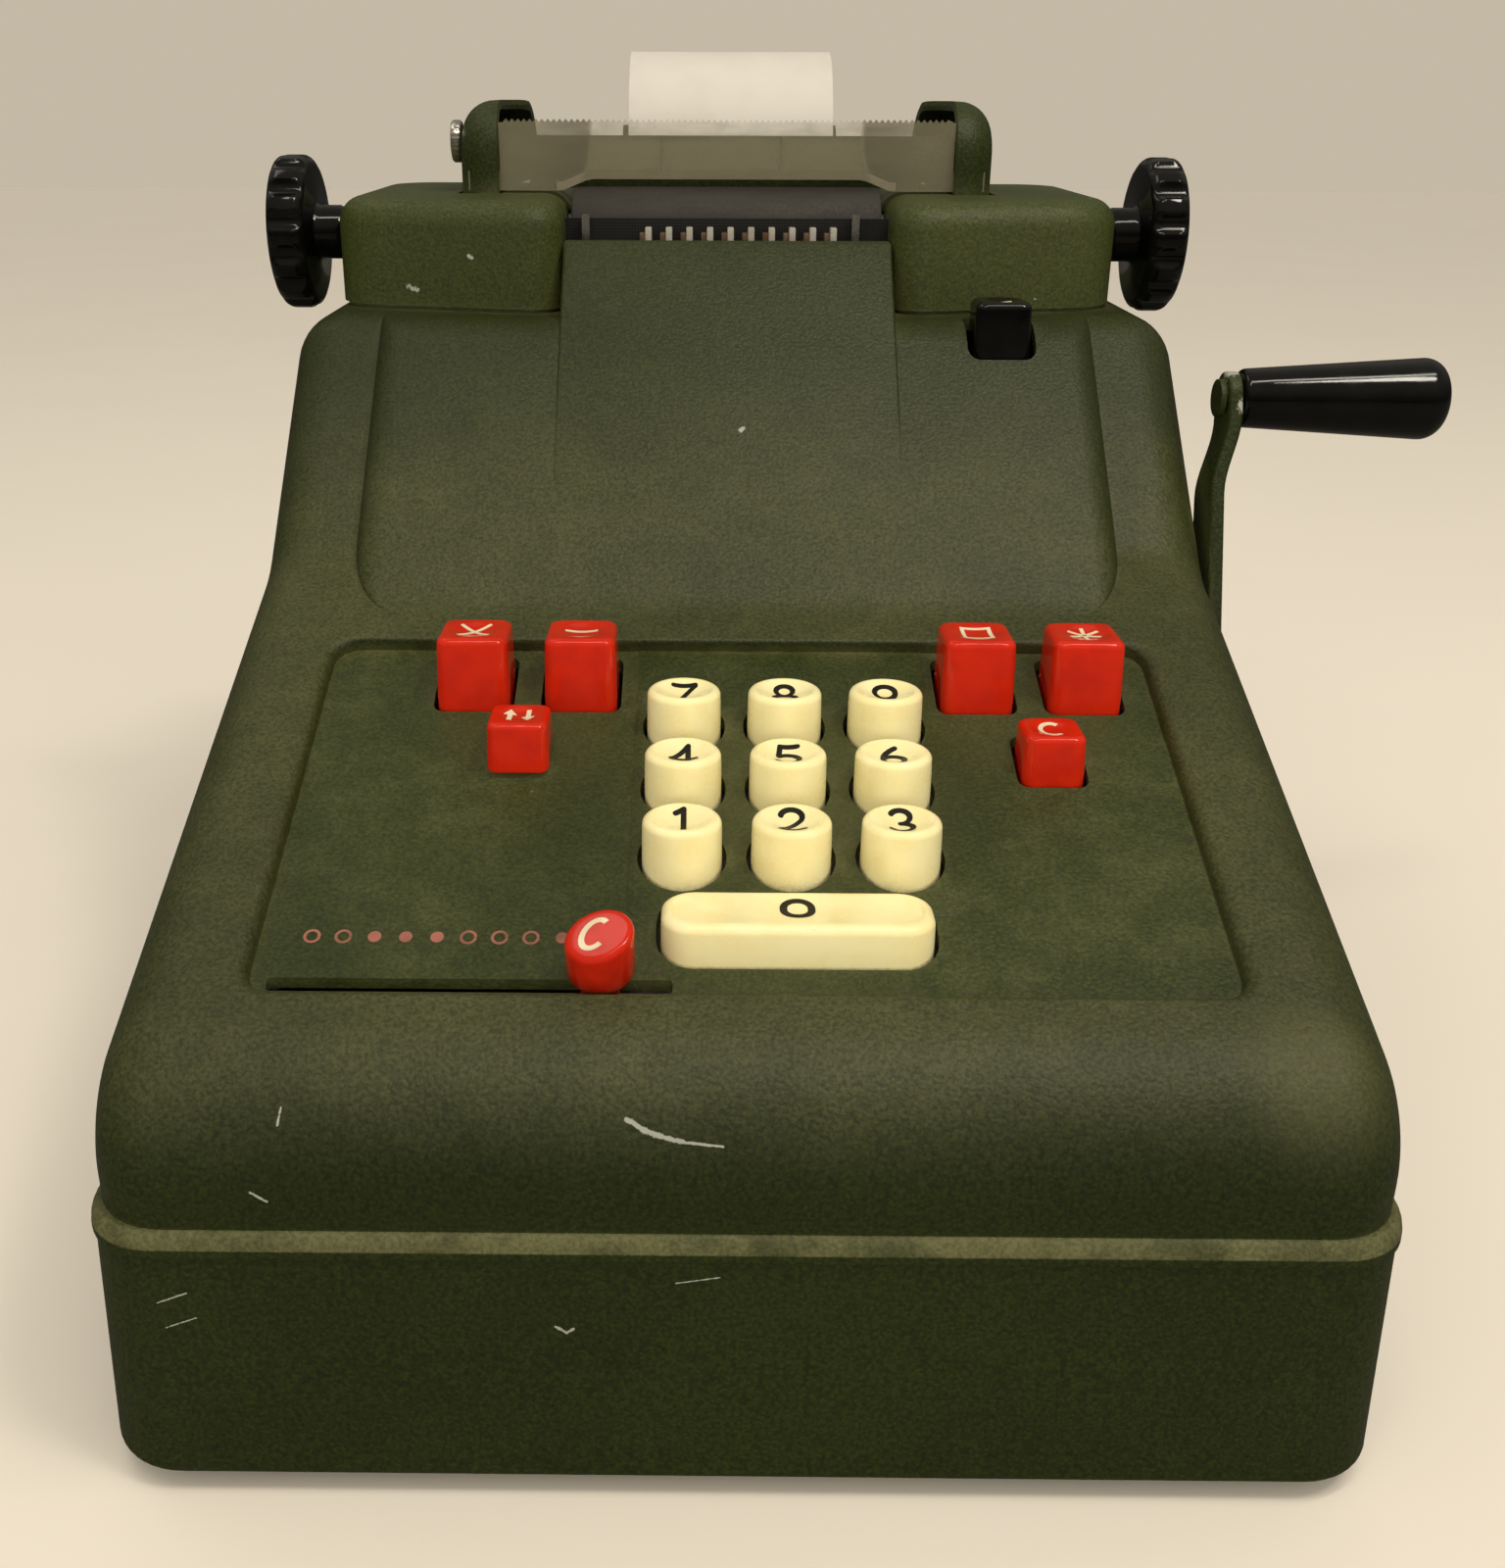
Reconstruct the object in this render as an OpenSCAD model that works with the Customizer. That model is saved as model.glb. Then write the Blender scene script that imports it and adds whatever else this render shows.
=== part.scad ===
/* [Base] */
// Width over the base pan
base_w = 232; // [210:1:254]
// Depth over the base pan
base_d = 330; // [300:1:360]
// Height of the ledge on which the housing stands
base_h = 57; // [52:1:62]
// Wall and floor thickness of the base pan
base_wall = 3; // [2:0.5:4]
// Corner radius of the base pan in plan
base_r = 14; // [10:1:18]
// How far the pan's wall stands back under its top bead
bead_out = 0.5; // [0.3:0.1:1]
// How far the pan's foot stands out beyond its top bead
base_flare = 1; // [0.5:0.1:1.5]
// Height of the pan's top bead
bead_h = 5; // [4:0.5:8]
// Height of the rubber feet below the pan
foot_h = 4; // [3:0.5:6]
// Diameter of a rubber foot
foot_d = 22; // [18:1:26]
// Diameter of the hold-down hole through each foot
foot_hole_d = 5; // [4:0.5:6]
// Distance of the feet from the pan's edges
foot_inset = 22; // [18:1:26]

/* [Housing] */
// How far the housing stands back from the pan's edge
ledge = 1.8; // [1.5:0.1:2.5]
// Wall thickness of the housing
housing_wall = 3; // [2.5:0.5:4]
// Radius along the housing's upper side edges
side_r = 14; // [11:0.5:16]
// Height at which the keyboard slope meets the front face
nose_h = 81.5; // [79:0.5:84]
// Radius of the rounded front
nose_r = 27; // [20:1:30]
// Slope of the keyboard
keyboard_slope = 19.2; // [18:0.1:21]
// Distance from the front to the foot of the steep slope at the sides
waist_y = 156; // [152:1:160]
// Distance from the front to the foot of the raised bonnet
bonnet_y = 135; // [132:1:140]
// Slope of the bonnet and of the shoulders beside it
steep_slope = 42; // [40:0.5:45]
// Radius in the hollow at the foot of the steep slope
waist_r = 20; // [12:1:26]
// Radius where the steep slope meets the top deck
shoulder_r = 17; // [16:0.5:22]
// Height of the top deck
deck_h = 183.5; // [165:0.5:203]
// Radius where the top deck meets the back
rear_r = 20; // [17:1:26]
// Half width of the raised bonnet
bonnet_half_w = 82; // [78:1:84]
// Width of the hollow flank along each side of the bonnet
bonnet_blend = 8.5; // [6:0.5:10]
// Width of the middle band that runs up between the covers
band_w = 84; // [78:1:84]
// How far the middle band's top edge stands above the deck
band_rise = 17.5; // [15.5:0.5:18.5]
// How far the middle band stands proud of the bonnet
band_proud = 1; // [0.5:0.1:1.5]

/* [Keyboard] */
// Distance up the slope to the front lip of the keyboard opening
opening_front = 26.3; // [26:0.1:26.8]
// Length of the keyboard opening up the slope
opening_len = 102; // [101:0.5:103]
// Width of the rim at each side of the keyboard opening
rim_w = 24.7; // [23:0.1:25.2]
// Corner radius of the keyboard opening
opening_r = 6; // [3:0.5:9]
// Thickness of the keyboard plate and of the guide plate
plate_t = 2; // [1.5:0.5:3]
// How far the keyboard plate reaches under the housing
plate_lap = 4; // [3:0.5:4.5]
// Depth of the guide plate below the keyboard plate
guide_depth = 20; // [18:0.5:22]
// Middle of the digit keys, as a share of the opening's half width
keys_mid_share = 0.1061; // [0.1:0.0001:0.11]
// Key pitch across, as a share of the opening's half width
key_pitch_share = 0.2369; // [0.23:0.0001:0.24]
// Key pitch up the slope
key_pitch_s = 19.7; // [19.4:0.1:20]
// Distance up the slope to the middle of the zero bar
zero_s = 43.5; // [43:0.1:43.8]
// Distance up the slope to the first row of digit keys
first_row_s = 62.7; // [62.4:0.1:63]
// Diameter of a digit key
digit_d = 15.6; // [15:0.1:16]
// Length of the zero bar, as a share of the opening's half width
zero_share = 0.5654; // [0.5:0.0001:0.58]
// How far the zero bar's middle stands to the right of the digits' middle
zero_shift = 0.4; // [0:0.1:1]
// Corner radius of the zero bar
zero_r = 6; // [4:0.5:7.5]
// Height of the digit keys above the plate
digit_rise = 8.9; // [7:0.1:10]
// Height of the zero bar above the plate
zero_rise = 4.9; // [3.5:0.1:6]
// Depth of the finger dish in a digit key
dish = 2; // [1:0.1:2.2]
// Width of a large function key at the plate
function_w = 15.6; // [14:0.1:16]
// Depth of a large function key at the plate
function_d = 16.2; // [14:0.1:16.4]
// Height of a large function key above the plate
function_rise = 12.6; // [10:0.1:14]
// Middle of the function keys, as a share of the opening's half width
function_mid_share = 0.0966; // [0.09:0.0001:0.1]
// Distance from their middle to the inner function keys, as a share of the opening's half width
function_in_share = 0.4765; // [0.47:0.0001:0.48]
// Distance from the inner to the outer function keys, as a share of the opening's half width
function_step_share = 0.2581; // [0.25:0.0001:0.262]
// Distance up the slope to the large function keys
function_s = 116.4; // [116:0.1:116.8]
// Width of a small key
small_w = 12.8; // [11:0.1:13.5]
// Depth of a small key
small_d = 13.4; // [11:0.1:13.6]
// Height of the small keys above the plate
small_rise = 7.6; // [7:0.1:10]
// Distance up the slope to the small keys
small_s = 91.8; // [91:0.1:92.5]
// Taper of the square keys from foot to top
key_taper = 0.96; // [0.85:0.01:0.98]
// How far a key goes down
key_travel = 4.5; // [3.5:0.1:5]
// Room between a key and the edge of its hole
key_room = 0.9; // [0.5:0.1:0.9]
// Diameter of a key stem
stem_d = 4; // [3:0.5:5]
// Width of the black release key
release_w = 14.2; // [13:0.1:15]
// Middle of the black release key from the machine's middle
release_x = 66; // [65:0.5:67]
// How far the black release key stands before the covers
release_lead = 11.5; // [11:0.5:12.5]
// How far the black release key's top stands above the deck
release_rise = 5.5; // [4.5:0.5:7]

/* [Column slider] */
// Pitch of the number columns, as a share of the opening's half width
column_share = 0.0648; // [0.062:0.0001:0.066]
// Number of columns that the slider passes
columns = 9; // [8:1:9]
// Place of the slider's knob when nothing is keyed in, as a share of the opening's half width
slider_share = 0.2905; // [0.285:0.0001:0.3]
// Diameter of the slider's knob
slider_d = 12.6; // [11:0.1:13]
// Height of the slider's knob at its middle
knob_h = 9.8; // [7:0.1:11]
// Tilt of the face of the slider's knob to the left
knob_tilt = 15; // [0:1:20]
// Width of the slider's slot
slot_w = 3; // [2.5:0.1:3.5]
// Diameter of the slider's rail
rail_d = 6; // [5:0.5:7]
// Travel of the two-way lever
lever_travel = 5; // [4:0.1:5]

/* [Carriage] */
// Middle of the carriage from the machine's middle
carriage_x = -2; // [-2.5:0.1:-1]
// How far the covers' ends stand in from the housing's sides
cover_inset = 11; // [10.5:0.5:13.5]
// Width of the gap between the two covers
cover_gap = 85; // [84.5:0.1:86]
// How far the covers stand before the top of the steep slope
cover_lead = 1.645; // [1:0.005:2.5]
// How far the covers' outer ends stand back
cover_sweep = 14; // [8:0.5:16]
// Depth of the covers
cover_d = 98; // [96:0.5:99]
// Height of the covers above the deck
cover_h = 27.3; // [27:0.1:28.5]
// Wall thickness of the covers
cover_wall = 2.4; // [2:0.1:2.8]
// Radius of the covers' outer upright corners
cover_r = 18; // [14:1:24]
// Radius of the covers' inner upright corners and of their top edges
cover_edge_r = 7; // [5:0.5:8]
// Distance from the covers' fronts back to the platen's axis
platen_back = 39; // [38.5:0.5:40]
// Height of the platen's axis above the deck
platen_rise = 17; // [16.5:0.1:17.5]
// Diameter of the platen
platen_d = 24; // [22:0.5:24.5]
// Diameter of the platen's shaft
platen_shaft_d = 10; // [8:0.5:11]
// Diameter of the platen's knobs
knob_d = 40; // [36:0.5:40.5]
// Thickness of the platen's knobs
knob_t = 10; // [8:0.5:12]
// Number of finger flutes around a knob
knob_flutes = 14; // [10:1:18]
// Diameter of a knob's neck
knob_neck_d = 14; // [13:0.5:16]

/* [Paper] */
// Half width over the two side cheeks
cheek_half_w = 72.3; // [71:0.1:74]
// Width of the cheeks' turned-in rim
cheek_rim = 11; // [9:0.1:12]
// Width of the cheeks' rim at the back
cheek_rim_back = 17; // [13:0.1:18]
// Thickness of the cheeks
cheek_t = 2.4; // [2:0.1:2.6]
// Distance from the covers' fronts back to the cheeks
cheek_back = 36; // [35.5:0.5:36.5]
// Depth of the cheeks
cheek_d = 58; // [56:0.5:58]
// Height of the cheeks above the deck
cheek_h = 50.5; // [49.5:0.5:52.5]
// Height of the tear window's toothed edge above the deck
window_rise = 46; // [44.5:0.5:47.5]
// Thickness of the tear window
window_t = 1.5; // [1:0.1:2]
// Pitch of the teeth on the tear window
tooth_pitch = 1.6; // [1.5:0.1:2.5]
// Height of the paper table above the deck
table_rise = 41.5; // [39.5:0.5:43.5]
// Diameter of the paper roll
roll_d = 56; // [40:1:58]
// Width of the paper roll
roll_w = 58; // [54:0.5:60]
// Distance from the covers' fronts back to the paper roll's axis
roll_back = 93; // [92:0.5:94]
// Height of the paper roll's axis above the deck
roll_rise = 35.5; // [33.5:0.5:37.5]
// Diameter of the paper spindle
spindle_d = 8; // [6:0.5:10]

/* [Crank] */
// Distance from the front to the crank's pivot
pivot_y = 160; // [158:0.5:162]
// Height of the crank's pivot
pivot_z = 92; // [90:0.5:94]
// Length of the crank from the pivot to the grip
crank_len = 79; // [74:0.5:84]
// How far the crank leans back at rest
crank_lean = 17.6; // [15:0.1:20]
// How far the crank is pulled forward
crank_pull = 75; // [60:1:80]
// Thickness of the crank arm
arm_t = 3.4; // [3:0.1:4]
// How far the top of the crank arm is set outwards
arm_joggle = 4; // [3.8:0.1:5]
// Diameter of the main shaft
shaft_d = 10; // [8:0.5:12]
// Length of the grip
grip_len = 50; // [44:0.5:56]
// Diameter of the grip next to the arm
grip_d_in = 14; // [12:0.1:15]
// Diameter of the grip at its end
grip_d_out = 20.2; // [16:0.1:22]
// Diameter of the pin on which the grip turns
pin_d = 6; // [5:0.5:7]

/* [Mechanism] */
// Thickness of the inner side frames
frame_t = 2; // [1.5:0.1:2.5]
// Diameter of the rods that tie the side frames together
tie_d = 8; // [6:0.5:9]
// Number of type bars
bars = 10; // [8:1:10]
// Pitch of the type bars
bar_pitch = 5.4; // [5:0.1:5.6]
// Thickness of a type bar
bar_t = 2.4; // [2:0.1:2.8]
// Distance from the covers' fronts back to the type bars
bar_back = 20; // [19.5:0.1:20.5]
// How far the type bars rise to print
bar_lift = 8; // [6:0.5:9]
// Diameter of the register wheels
wheel_d = 24; // [20:1:26]
// Running clearance of shafts, stems and rails, on the radius
running = 0.06; // [0.03:0.01:0.09]
// Clearance between pieces that stand in or against one another
seat = 0.05; // [0.03:0.01:0.1]
// Clearance around moving pieces that touch nothing
free = 0.5; // [0.35:0.05:0.6]

/* [Hidden] */
$fn = 48;
eps = 0.01;

green = "#39462a";
cream = "#efe3b4";
red = "#c4201a";
steel = "#9aa0a2";
black = "#17171a";

// Places worked out from the driving sizes
front = -base_d / 2;
back = base_d / 2;
floor_z = foot_h + base_wall;
hw = base_w / 2 - ledge;
hf = front + ledge;
hr = back - ledge;
plate_n = -housing_wall - seat;
guide_n = plate_n - guide_depth;
opening_half_w = hw - rim_w;
opening_mid_s = opening_front + opening_len / 2;
keys_mid_x = opening_half_w * keys_mid_share;
key_pitch_x = opening_half_w * key_pitch_share;
zero_w = opening_half_w * zero_share;
zero_x = keys_mid_x + zero_shift;
function_mid_x = opening_half_w * function_mid_share;
function_in = opening_half_w * function_in_share;
function_step = opening_half_w * function_step_share;
column_pitch = opening_half_w * column_share;
slider_x = -opening_half_w * slider_share;

// Depths from the front of what follows the top of the steep slope
steep_foot_z = nose_h + (waist_y - ledge) * tan(keyboard_slope);
steep_top_y = waist_y + (deck_h - steep_foot_z) / tan(steep_slope);
cover_y = steep_top_y - cover_lead;
release_y = cover_y - release_lead;
bar_y = cover_y + bar_back;
cheek_y = cover_y + cheek_back;
platen_y = cover_y + platen_back;
roll_y = cover_y + roll_back;

// Heights of what stands on the deck
band_top_h = deck_h + band_rise;
release_top = deck_h + release_rise;
cover_top = deck_h + cover_h;
platen_z = deck_h + platen_rise;
cheek_top = deck_h + cheek_h;
window_top = deck_h + window_rise;
table_top = deck_h + table_rise;
roll_z = deck_h + roll_rise;

cover_half_w = hw - cover_inset;
cover_z = deck_h + seat;
platen_yc = front + platen_y;
knob_in = cover_half_w + 8.7;
frame_x = opening_half_w + plate_lap + 4.5;
pivot_yc = front + pivot_y;
arm_x = hw + 1 + free;
eye_x = arm_x + arm_joggle;
eye_y = pivot_yc + crank_len * sin(crank_lean);
eye_z = pivot_z + crank_len * cos(crank_lean);
grip_x = eye_x + arm_t + free;
lever_len = 26;
lever_x = 40;
lever_t = 6;
lever_droop = crank_pull / 2;
spring_y = pivot_yc + lever_len * cos(lever_droop);
stud_z = pivot_z - lever_len * sin(lever_droop);
spring_anchor_z = 20;

// A point [y, z] a distance s up the keyboard slope and n above its surface
function on_slope(s, n) = [
    hf + s * cos(keyboard_slope) - n * sin(keyboard_slope),
    nose_h + s * sin(keyboard_slope) + n * cos(keyboard_slope)
];
// Height of the keyboard plate's top at a depth y
function plate_z(y) =
    on_slope(0, plate_n)[1] + (y - on_slope(0, plate_n)[0]) * tan(keyboard_slope);
function digit_s(row) = first_row_s + (row - 1) * key_pitch_s;
function digit_x(col) = keys_mid_x + (col - 1) * key_pitch_x;

module on_keyboard() {
    translate([0, hf, nose_h]) rotate([keyboard_slope, 0, 0]) children();
}

module side_plate(x, t) {
    translate([x, 0, 0]) rotate([90, 0, 90]) linear_extrude(t) children();
}

module rod_x(x0, x1, y, z, d) {
    translate([x0, y, z]) rotate([0, 90, 0]) cylinder(d = d, h = x1 - x0);
}

// A rod from side frame to side frame that stands out a little at both ends
module frame_rod(y, z, d) {
    reach = frame_x + frame_t / 2 + 1;
    rod_x(-reach, reach, y, z, d);
}

module rounded_rect(w, d, r) {
    square([w - 2 * r, d], center = true);
    square([w, d - 2 * r], center = true);
    for (sx = [-1, 1], sy = [-1, 1])
        translate([sx * (w / 2 - r), sy * (d / 2 - r)]) circle(r);
}

// Points of the arc that rounds the corner c on the way from p to q
function corner_arc(p, c, q, r, n) =
    let (
        ha = atan2(c[1] - p[1], c[0] - p[0]),
        hb = atan2(q[1] - c[1], q[0] - c[0]),
        d0 = hb - ha,
        d = d0 > 180 ? d0 - 360 : d0 < -180 ? d0 + 360 : d0,
        side = d < 0 ? 1 : -1,
        start = c - r * tan(abs(d) / 2) * [cos(ha), sin(ha)],
        mid = start + side * r * [sin(ha), -cos(ha)]
    )
    [for (k = [0:n]) let (h = ha + d * k / n) mid + side * r * [-sin(h), cos(h)]];
function rounded_outline(pts, radii, n) =
    let (m = len(pts))
    [for (i = [0:m - 1])
        each radii[i] == 0 ? [pts[i]]
            : corner_arc(pts[(i + m - 1) % m], pts[i], pts[(i + 1) % m], radii[i], n)];

// Closed solid through level outlines, each given as its points and its height
module loft(levels) {
    ni = len(levels[0][0]);
    nk = len(levels);
    points = [for (v = levels) each [for (p = v[0]) [p[0], p[1], v[1]]]];
    skin = [for (k = [0:nk - 2], i = [0:ni - 1])
        let (a = k * ni + i, b = k * ni + (i + 1) % ni)
        each [[a, b, b + ni], [a, b + ni, a + ni]]];
    lid = [for (i = [0:ni - 1]) (nk - 1) * ni + i];
    under = [for (i = [ni - 1:-1:0]) i];
    polyhedron(points, concat(skin, [lid, under]), convexity = 4);
}

function meet(p, a, q, b) =
    let (t = ((q[0] - p[0]) * b[1] - (q[1] - p[1]) * b[0]) / (a[0] * b[1] - a[1] * b[0])) p + t * a;
function smooth(t) = t * t * (3 - 2 * t);

// Side profile of the housing, set in by o, with the foot of the steep slope at depth foot
function profile(o, foot, bottom) =
    let (
        a = [cos(keyboard_slope), sin(keyboard_slope)],
        b = [cos(steep_slope), sin(steep_slope)],
        on_a = [hf, nose_h] + o * [a[1], -a[0]],
        waist = [hf, nose_h] + (foot - ledge) / a[0] * a,
        on_b = waist + o * [b[1], -b[0]],
        p0 = [hf + o, bottom],
        c1 = meet(p0, [0, 1], on_a, a),
        c2 = meet(on_a, a, on_b, b),
        c3 = meet(on_b, b, [0, deck_h - o], [1, 0]),
        c4 = [hr - o, deck_h - o],
        p5 = [hr - o, bottom]
    )
    concat(
        [p0],
        corner_arc(p0, c1, c2, nose_r - o, 9),
        corner_arc(c1, c2, c3, waist_r + o, 5),
        corner_arc(c2, c3, c4, shoulder_r - o, 6),
        corner_arc(c3, c4, p5, rear_r - o, 6),
        [p5]
    );

// Stations across the housing: place, set-in of the profile, share of the bonnet
function half_stations(wall, fillet_n, blend_n) = concat(
    [for (k = [0:fillet_n]) let (f = 90 - 90 * k / fillet_n, r = side_r - wall)
        [hw - side_r + r * sin(f), wall + r * (1 - cos(f)), 0]],
    [for (k = [blend_n:-1:0])
        [bonnet_half_w + bonnet_blend * k / blend_n, wall, smooth(1 - k / blend_n)]]
);
function stations(wall, fillet_n, blend_n) =
    let (h = half_stations(wall, fillet_n, blend_n), m = len(h))
    concat([for (v = h) [-v[0], v[1], v[2]]], [for (i = [m - 1:-1:0]) h[i]]);

module housing_form(wall, fillet_n, blend_n, bottom) {
    across = stations(wall, fillet_n, blend_n);
    nj = len(across);
    outer = [for (v = across) profile(v[1], waist_y, bottom)];
    raised = [for (v = across) profile(v[1], bonnet_y, bottom)];
    ni = len(outer[0]);
    wall_mid = [hr / 3, nose_h - 5];
    skin_points = [for (i = [0:ni - 1], j = [0:nj - 1])
        let (w = across[j][2], p = outer[j][i] * (1 - w) + raised[j][i] * w)
        [across[j][0], p[0], p[1]]];
    wall_points = [for (j = [0, nj - 1]) [across[j][0], wall_mid[0], wall_mid[1]]];
    skin = [for (i = [0:ni - 2], j = [0:nj - 2])
        let (a = i * nj + j, b = a + nj)
        each [[a, b, b + 1], [a, b + 1, a + 1]]];
    left = [for (i = [0:ni - 1]) [ni * nj, (i + 1) % ni * nj, i * nj]];
    right = [for (i = [0:ni - 1]) [ni * nj + 1, i * nj + nj - 1, (i + 1) % ni * nj + nj - 1]];
    rear = (ni - 1) * nj;
    under = [for (j = [0:nj - 2]) each [[j, j + 1, rear + j + 1], [j, rear + j + 1, rear + j]]];
    polyhedron(concat(skin_points, wall_points), concat(skin, left, right, under), convexity = 6);
}

// Depth at which the bonnet's surface, raised by n, reaches the height z
function bonnet_depth(z, n) =
    let (
        a = [cos(keyboard_slope), sin(keyboard_slope)],
        p = [hf, nose_h] + (bonnet_y - ledge) / a[0] * a + n * [-sin(steep_slope), cos(steep_slope)]
    )
    p[0] + (z - p[1]) / tan(steep_slope);

band_back = bonnet_depth(band_top_h, band_proud) + 4;

module middle_band() {
    fade_z = 140;
    side_plate(carriage_x - band_w / 2, band_w)
        polygon([
            [bonnet_depth(fade_z, -0.1), fade_z],
            [bonnet_depth(band_top_h, band_proud), band_top_h],
            [band_back, band_top_h],
            [band_back, deck_h - housing_wall],
            [bonnet_depth(deck_h - housing_wall, -2), deck_h - housing_wall],
            [bonnet_depth(fade_z, -2), fade_z]
        ]);
}

deck_cut_y = band_back + 1;
deck_cut_d = front + cheek_y + 17 - deck_cut_y;
deck_cut_half_w = cover_gap / 2 + 3;

module housing() {
    color(green)
    difference() {
        union() {
            difference() {
                housing_form(0, 6, 6, base_h);
                housing_form(housing_wall, 3, 3, base_h - 1);
            }
            middle_band();
        }
        on_keyboard()
            translate([0, opening_mid_s, -2 * housing_wall])
            linear_extrude(4 * housing_wall)
            rounded_rect(2 * opening_half_w, opening_len, opening_r);
        translate([release_x, front + release_y, deck_h - 40])
            linear_extrude(60)
            rounded_rect(release_w + 2 * key_room + 1, release_w + 2 * key_room + 1, 3);
        translate([carriage_x - deck_cut_half_w, deck_cut_y, deck_h - 2 * housing_wall])
            cube([2 * deck_cut_half_w, deck_cut_d, 3 * housing_wall]);
        rod_x(hw - 2 * housing_wall, hw + 1, pivot_yc, pivot_z, shaft_d + 8);
    }
}

foot_x = base_w / 2 - foot_inset;
foot_y = base_d / 2 - foot_inset;
foot_neck_d = foot_hole_d + 7;
screw_x = frame_x - 8;
screw_y = base_d / 2 - 60;
screw_d = 5;
rim_in = ledge + housing_wall + 2.5;

module at_corners(x, y) {
    for (sx = [-1, 1], sy = [-1, 1]) translate([sx * x, sy * y, 0]) children();
}

// Outline of the pan, set in by o
function pan_ring(o) =
    let (x = base_w / 2 - o, y = base_d / 2 - o)
    rounded_outline([[-x, -y], [-x, y], [x, y], [x, -y]], [for (i = [0:3]) base_r - o], pan_arc_n);

pan_arc_n = 10;

// A drafted block between two heights, wide at the foot, set in by o
module pan_block(o, z0, z1) {
    loft([[pan_ring(o - base_flare), z0], [pan_ring(o + bead_out), z1]]);
}

module base_pan() {
    color(green)
    difference() {
        union() {
            pan_block(0, foot_h, base_h - bead_h + eps);
            loft([[pan_ring(0), base_h - bead_h], [pan_ring(0), base_h]]);
        }
        pan_block(base_wall, floor_z, base_h - base_wall);
        translate([0, 0, base_h - base_wall - 1])
            linear_extrude(base_wall + 2)
            rounded_rect(base_w - 2 * rim_in, base_d - 2 * rim_in, base_r - rim_in + 2);
        translate([0, 0, foot_h - 1]) {
            at_corners(foot_x, foot_y) cylinder(d = foot_neck_d + 2 * seat, h = base_wall + 2);
            at_corners(screw_x, screw_y) cylinder(d = screw_d + 2 * seat, h = base_wall + 2);
        }
    }
}

module rubber_feet() {
    collar_h = 2;
    color(black)
    at_corners(foot_x, foot_y)
    difference() {
        union() {
            cylinder(d = foot_d, h = foot_h);
            cylinder(d = foot_neck_d, h = floor_z + eps);
            translate([0, 0, floor_z]) cylinder(d = foot_neck_d + 4, h = collar_h);
        }
        translate([0, 0, -1]) cylinder(d = foot_hole_d, h = floor_z + collar_h + 2);
    }
}

flange_t = 2;

module case_screws() {
    head_h = 2.4;
    color(steel)
    at_corners(screw_x, screw_y) {
        translate([0, 0, foot_h - head_h]) cylinder(d = 9, h = head_h);
        translate([0, 0, foot_h - eps]) cylinder(d = screw_d, h = base_wall + flange_t + 5);
    }
}

// Stem places: every key's middle across and its depth
function key_depth(s) = on_slope(s, plate_n)[0];
digit_stems = [for (row = [1:3], col = [0:2]) [digit_x(col), key_depth(digit_s(row))]];
zero_stem_x = zero_w / 2 - 9;
zero_stems = [for (side = [-1, 1]) [zero_x + side * zero_stem_x, key_depth(zero_s)]];
function function_x(side, ring) = function_mid_x + side * (function_in + ring * function_step);
function_stems = [for (side = [-1, 1], ring = [0, 1]) [function_x(side, ring), key_depth(function_s)]];
small_off = function_in + function_step / 2;
clear_x = function_mid_x + small_off + 1.2;
lever_key_x = function_mid_x - small_off;
clear_stem = [clear_x, key_depth(small_s)];
key_stems = concat(digit_stems, zero_stems, function_stems, [clear_stem]);

slot_s = opening_front + 3.6;
slider_y = key_depth(slot_s);
slider_run = columns * column_pitch;
slot_x0 = slider_x - slider_run - 8;
slot_x1 = slider_x + 13;
lever_slot_w = 5;
lever_stem_w = 4;
lever_s = small_s + 0.4;
post_x = opening_half_w - 1.5;
post_s = [opening_front + 9, opening_front + opening_len - 4];
post_d = 5;
post_pin_d = 3;

module at_posts() {
    for (sx = [-1, 1], s = post_s) translate([sx * post_x, s, 0]) children();
}

module square_hole(w, d) {
    rounded_rect(w + 2 * key_room, d + 2 * key_room, 2.5);
}

// Upright cutters through the plate: one at a key's stem
module plate_cut(p) {
    tall = 40;
    translate([p[0], p[1], plate_z(p[1]) - tall / 2]) linear_extrude(tall) children();
}

module keyboard_plate() {
    deep = 3 * plate_t;
    round_hole_d = digit_d + 2 * key_room;
    lever_slot_len = lever_slot_w + lever_travel + 2 * free;
    color(green)
    difference() {
        on_keyboard()
            translate([0, opening_mid_s, plate_n - plate_t])
            linear_extrude(plate_t)
            rounded_rect(2 * (opening_half_w + plate_lap), opening_len + 2 * plate_lap, opening_r);
        for (p = digit_stems) plate_cut(p) circle(d = round_hole_d);
        plate_cut([zero_x, key_depth(zero_s)])
            rounded_rect(zero_w + 2 * key_room, round_hole_d, zero_r + key_room);
        for (p = function_stems) plate_cut(p) square_hole(function_w, function_d);
        plate_cut(clear_stem) square_hole(small_w, small_d);
        plate_cut([(slot_x0 + slot_x1) / 2, slider_y]) square([slot_x1 - slot_x0, slot_w], center = true);
        on_keyboard()
            translate([lever_key_x - lever_slot_w / 2, lever_s - lever_slot_w / 2 - free, plate_n - deep])
            cube([lever_slot_w, lever_slot_len, 2 * deep]);
        on_keyboard()
            translate([0, 0, plate_n - deep]) at_posts() cylinder(d = post_pin_d, h = 2 * deep);
    }
}

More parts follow.
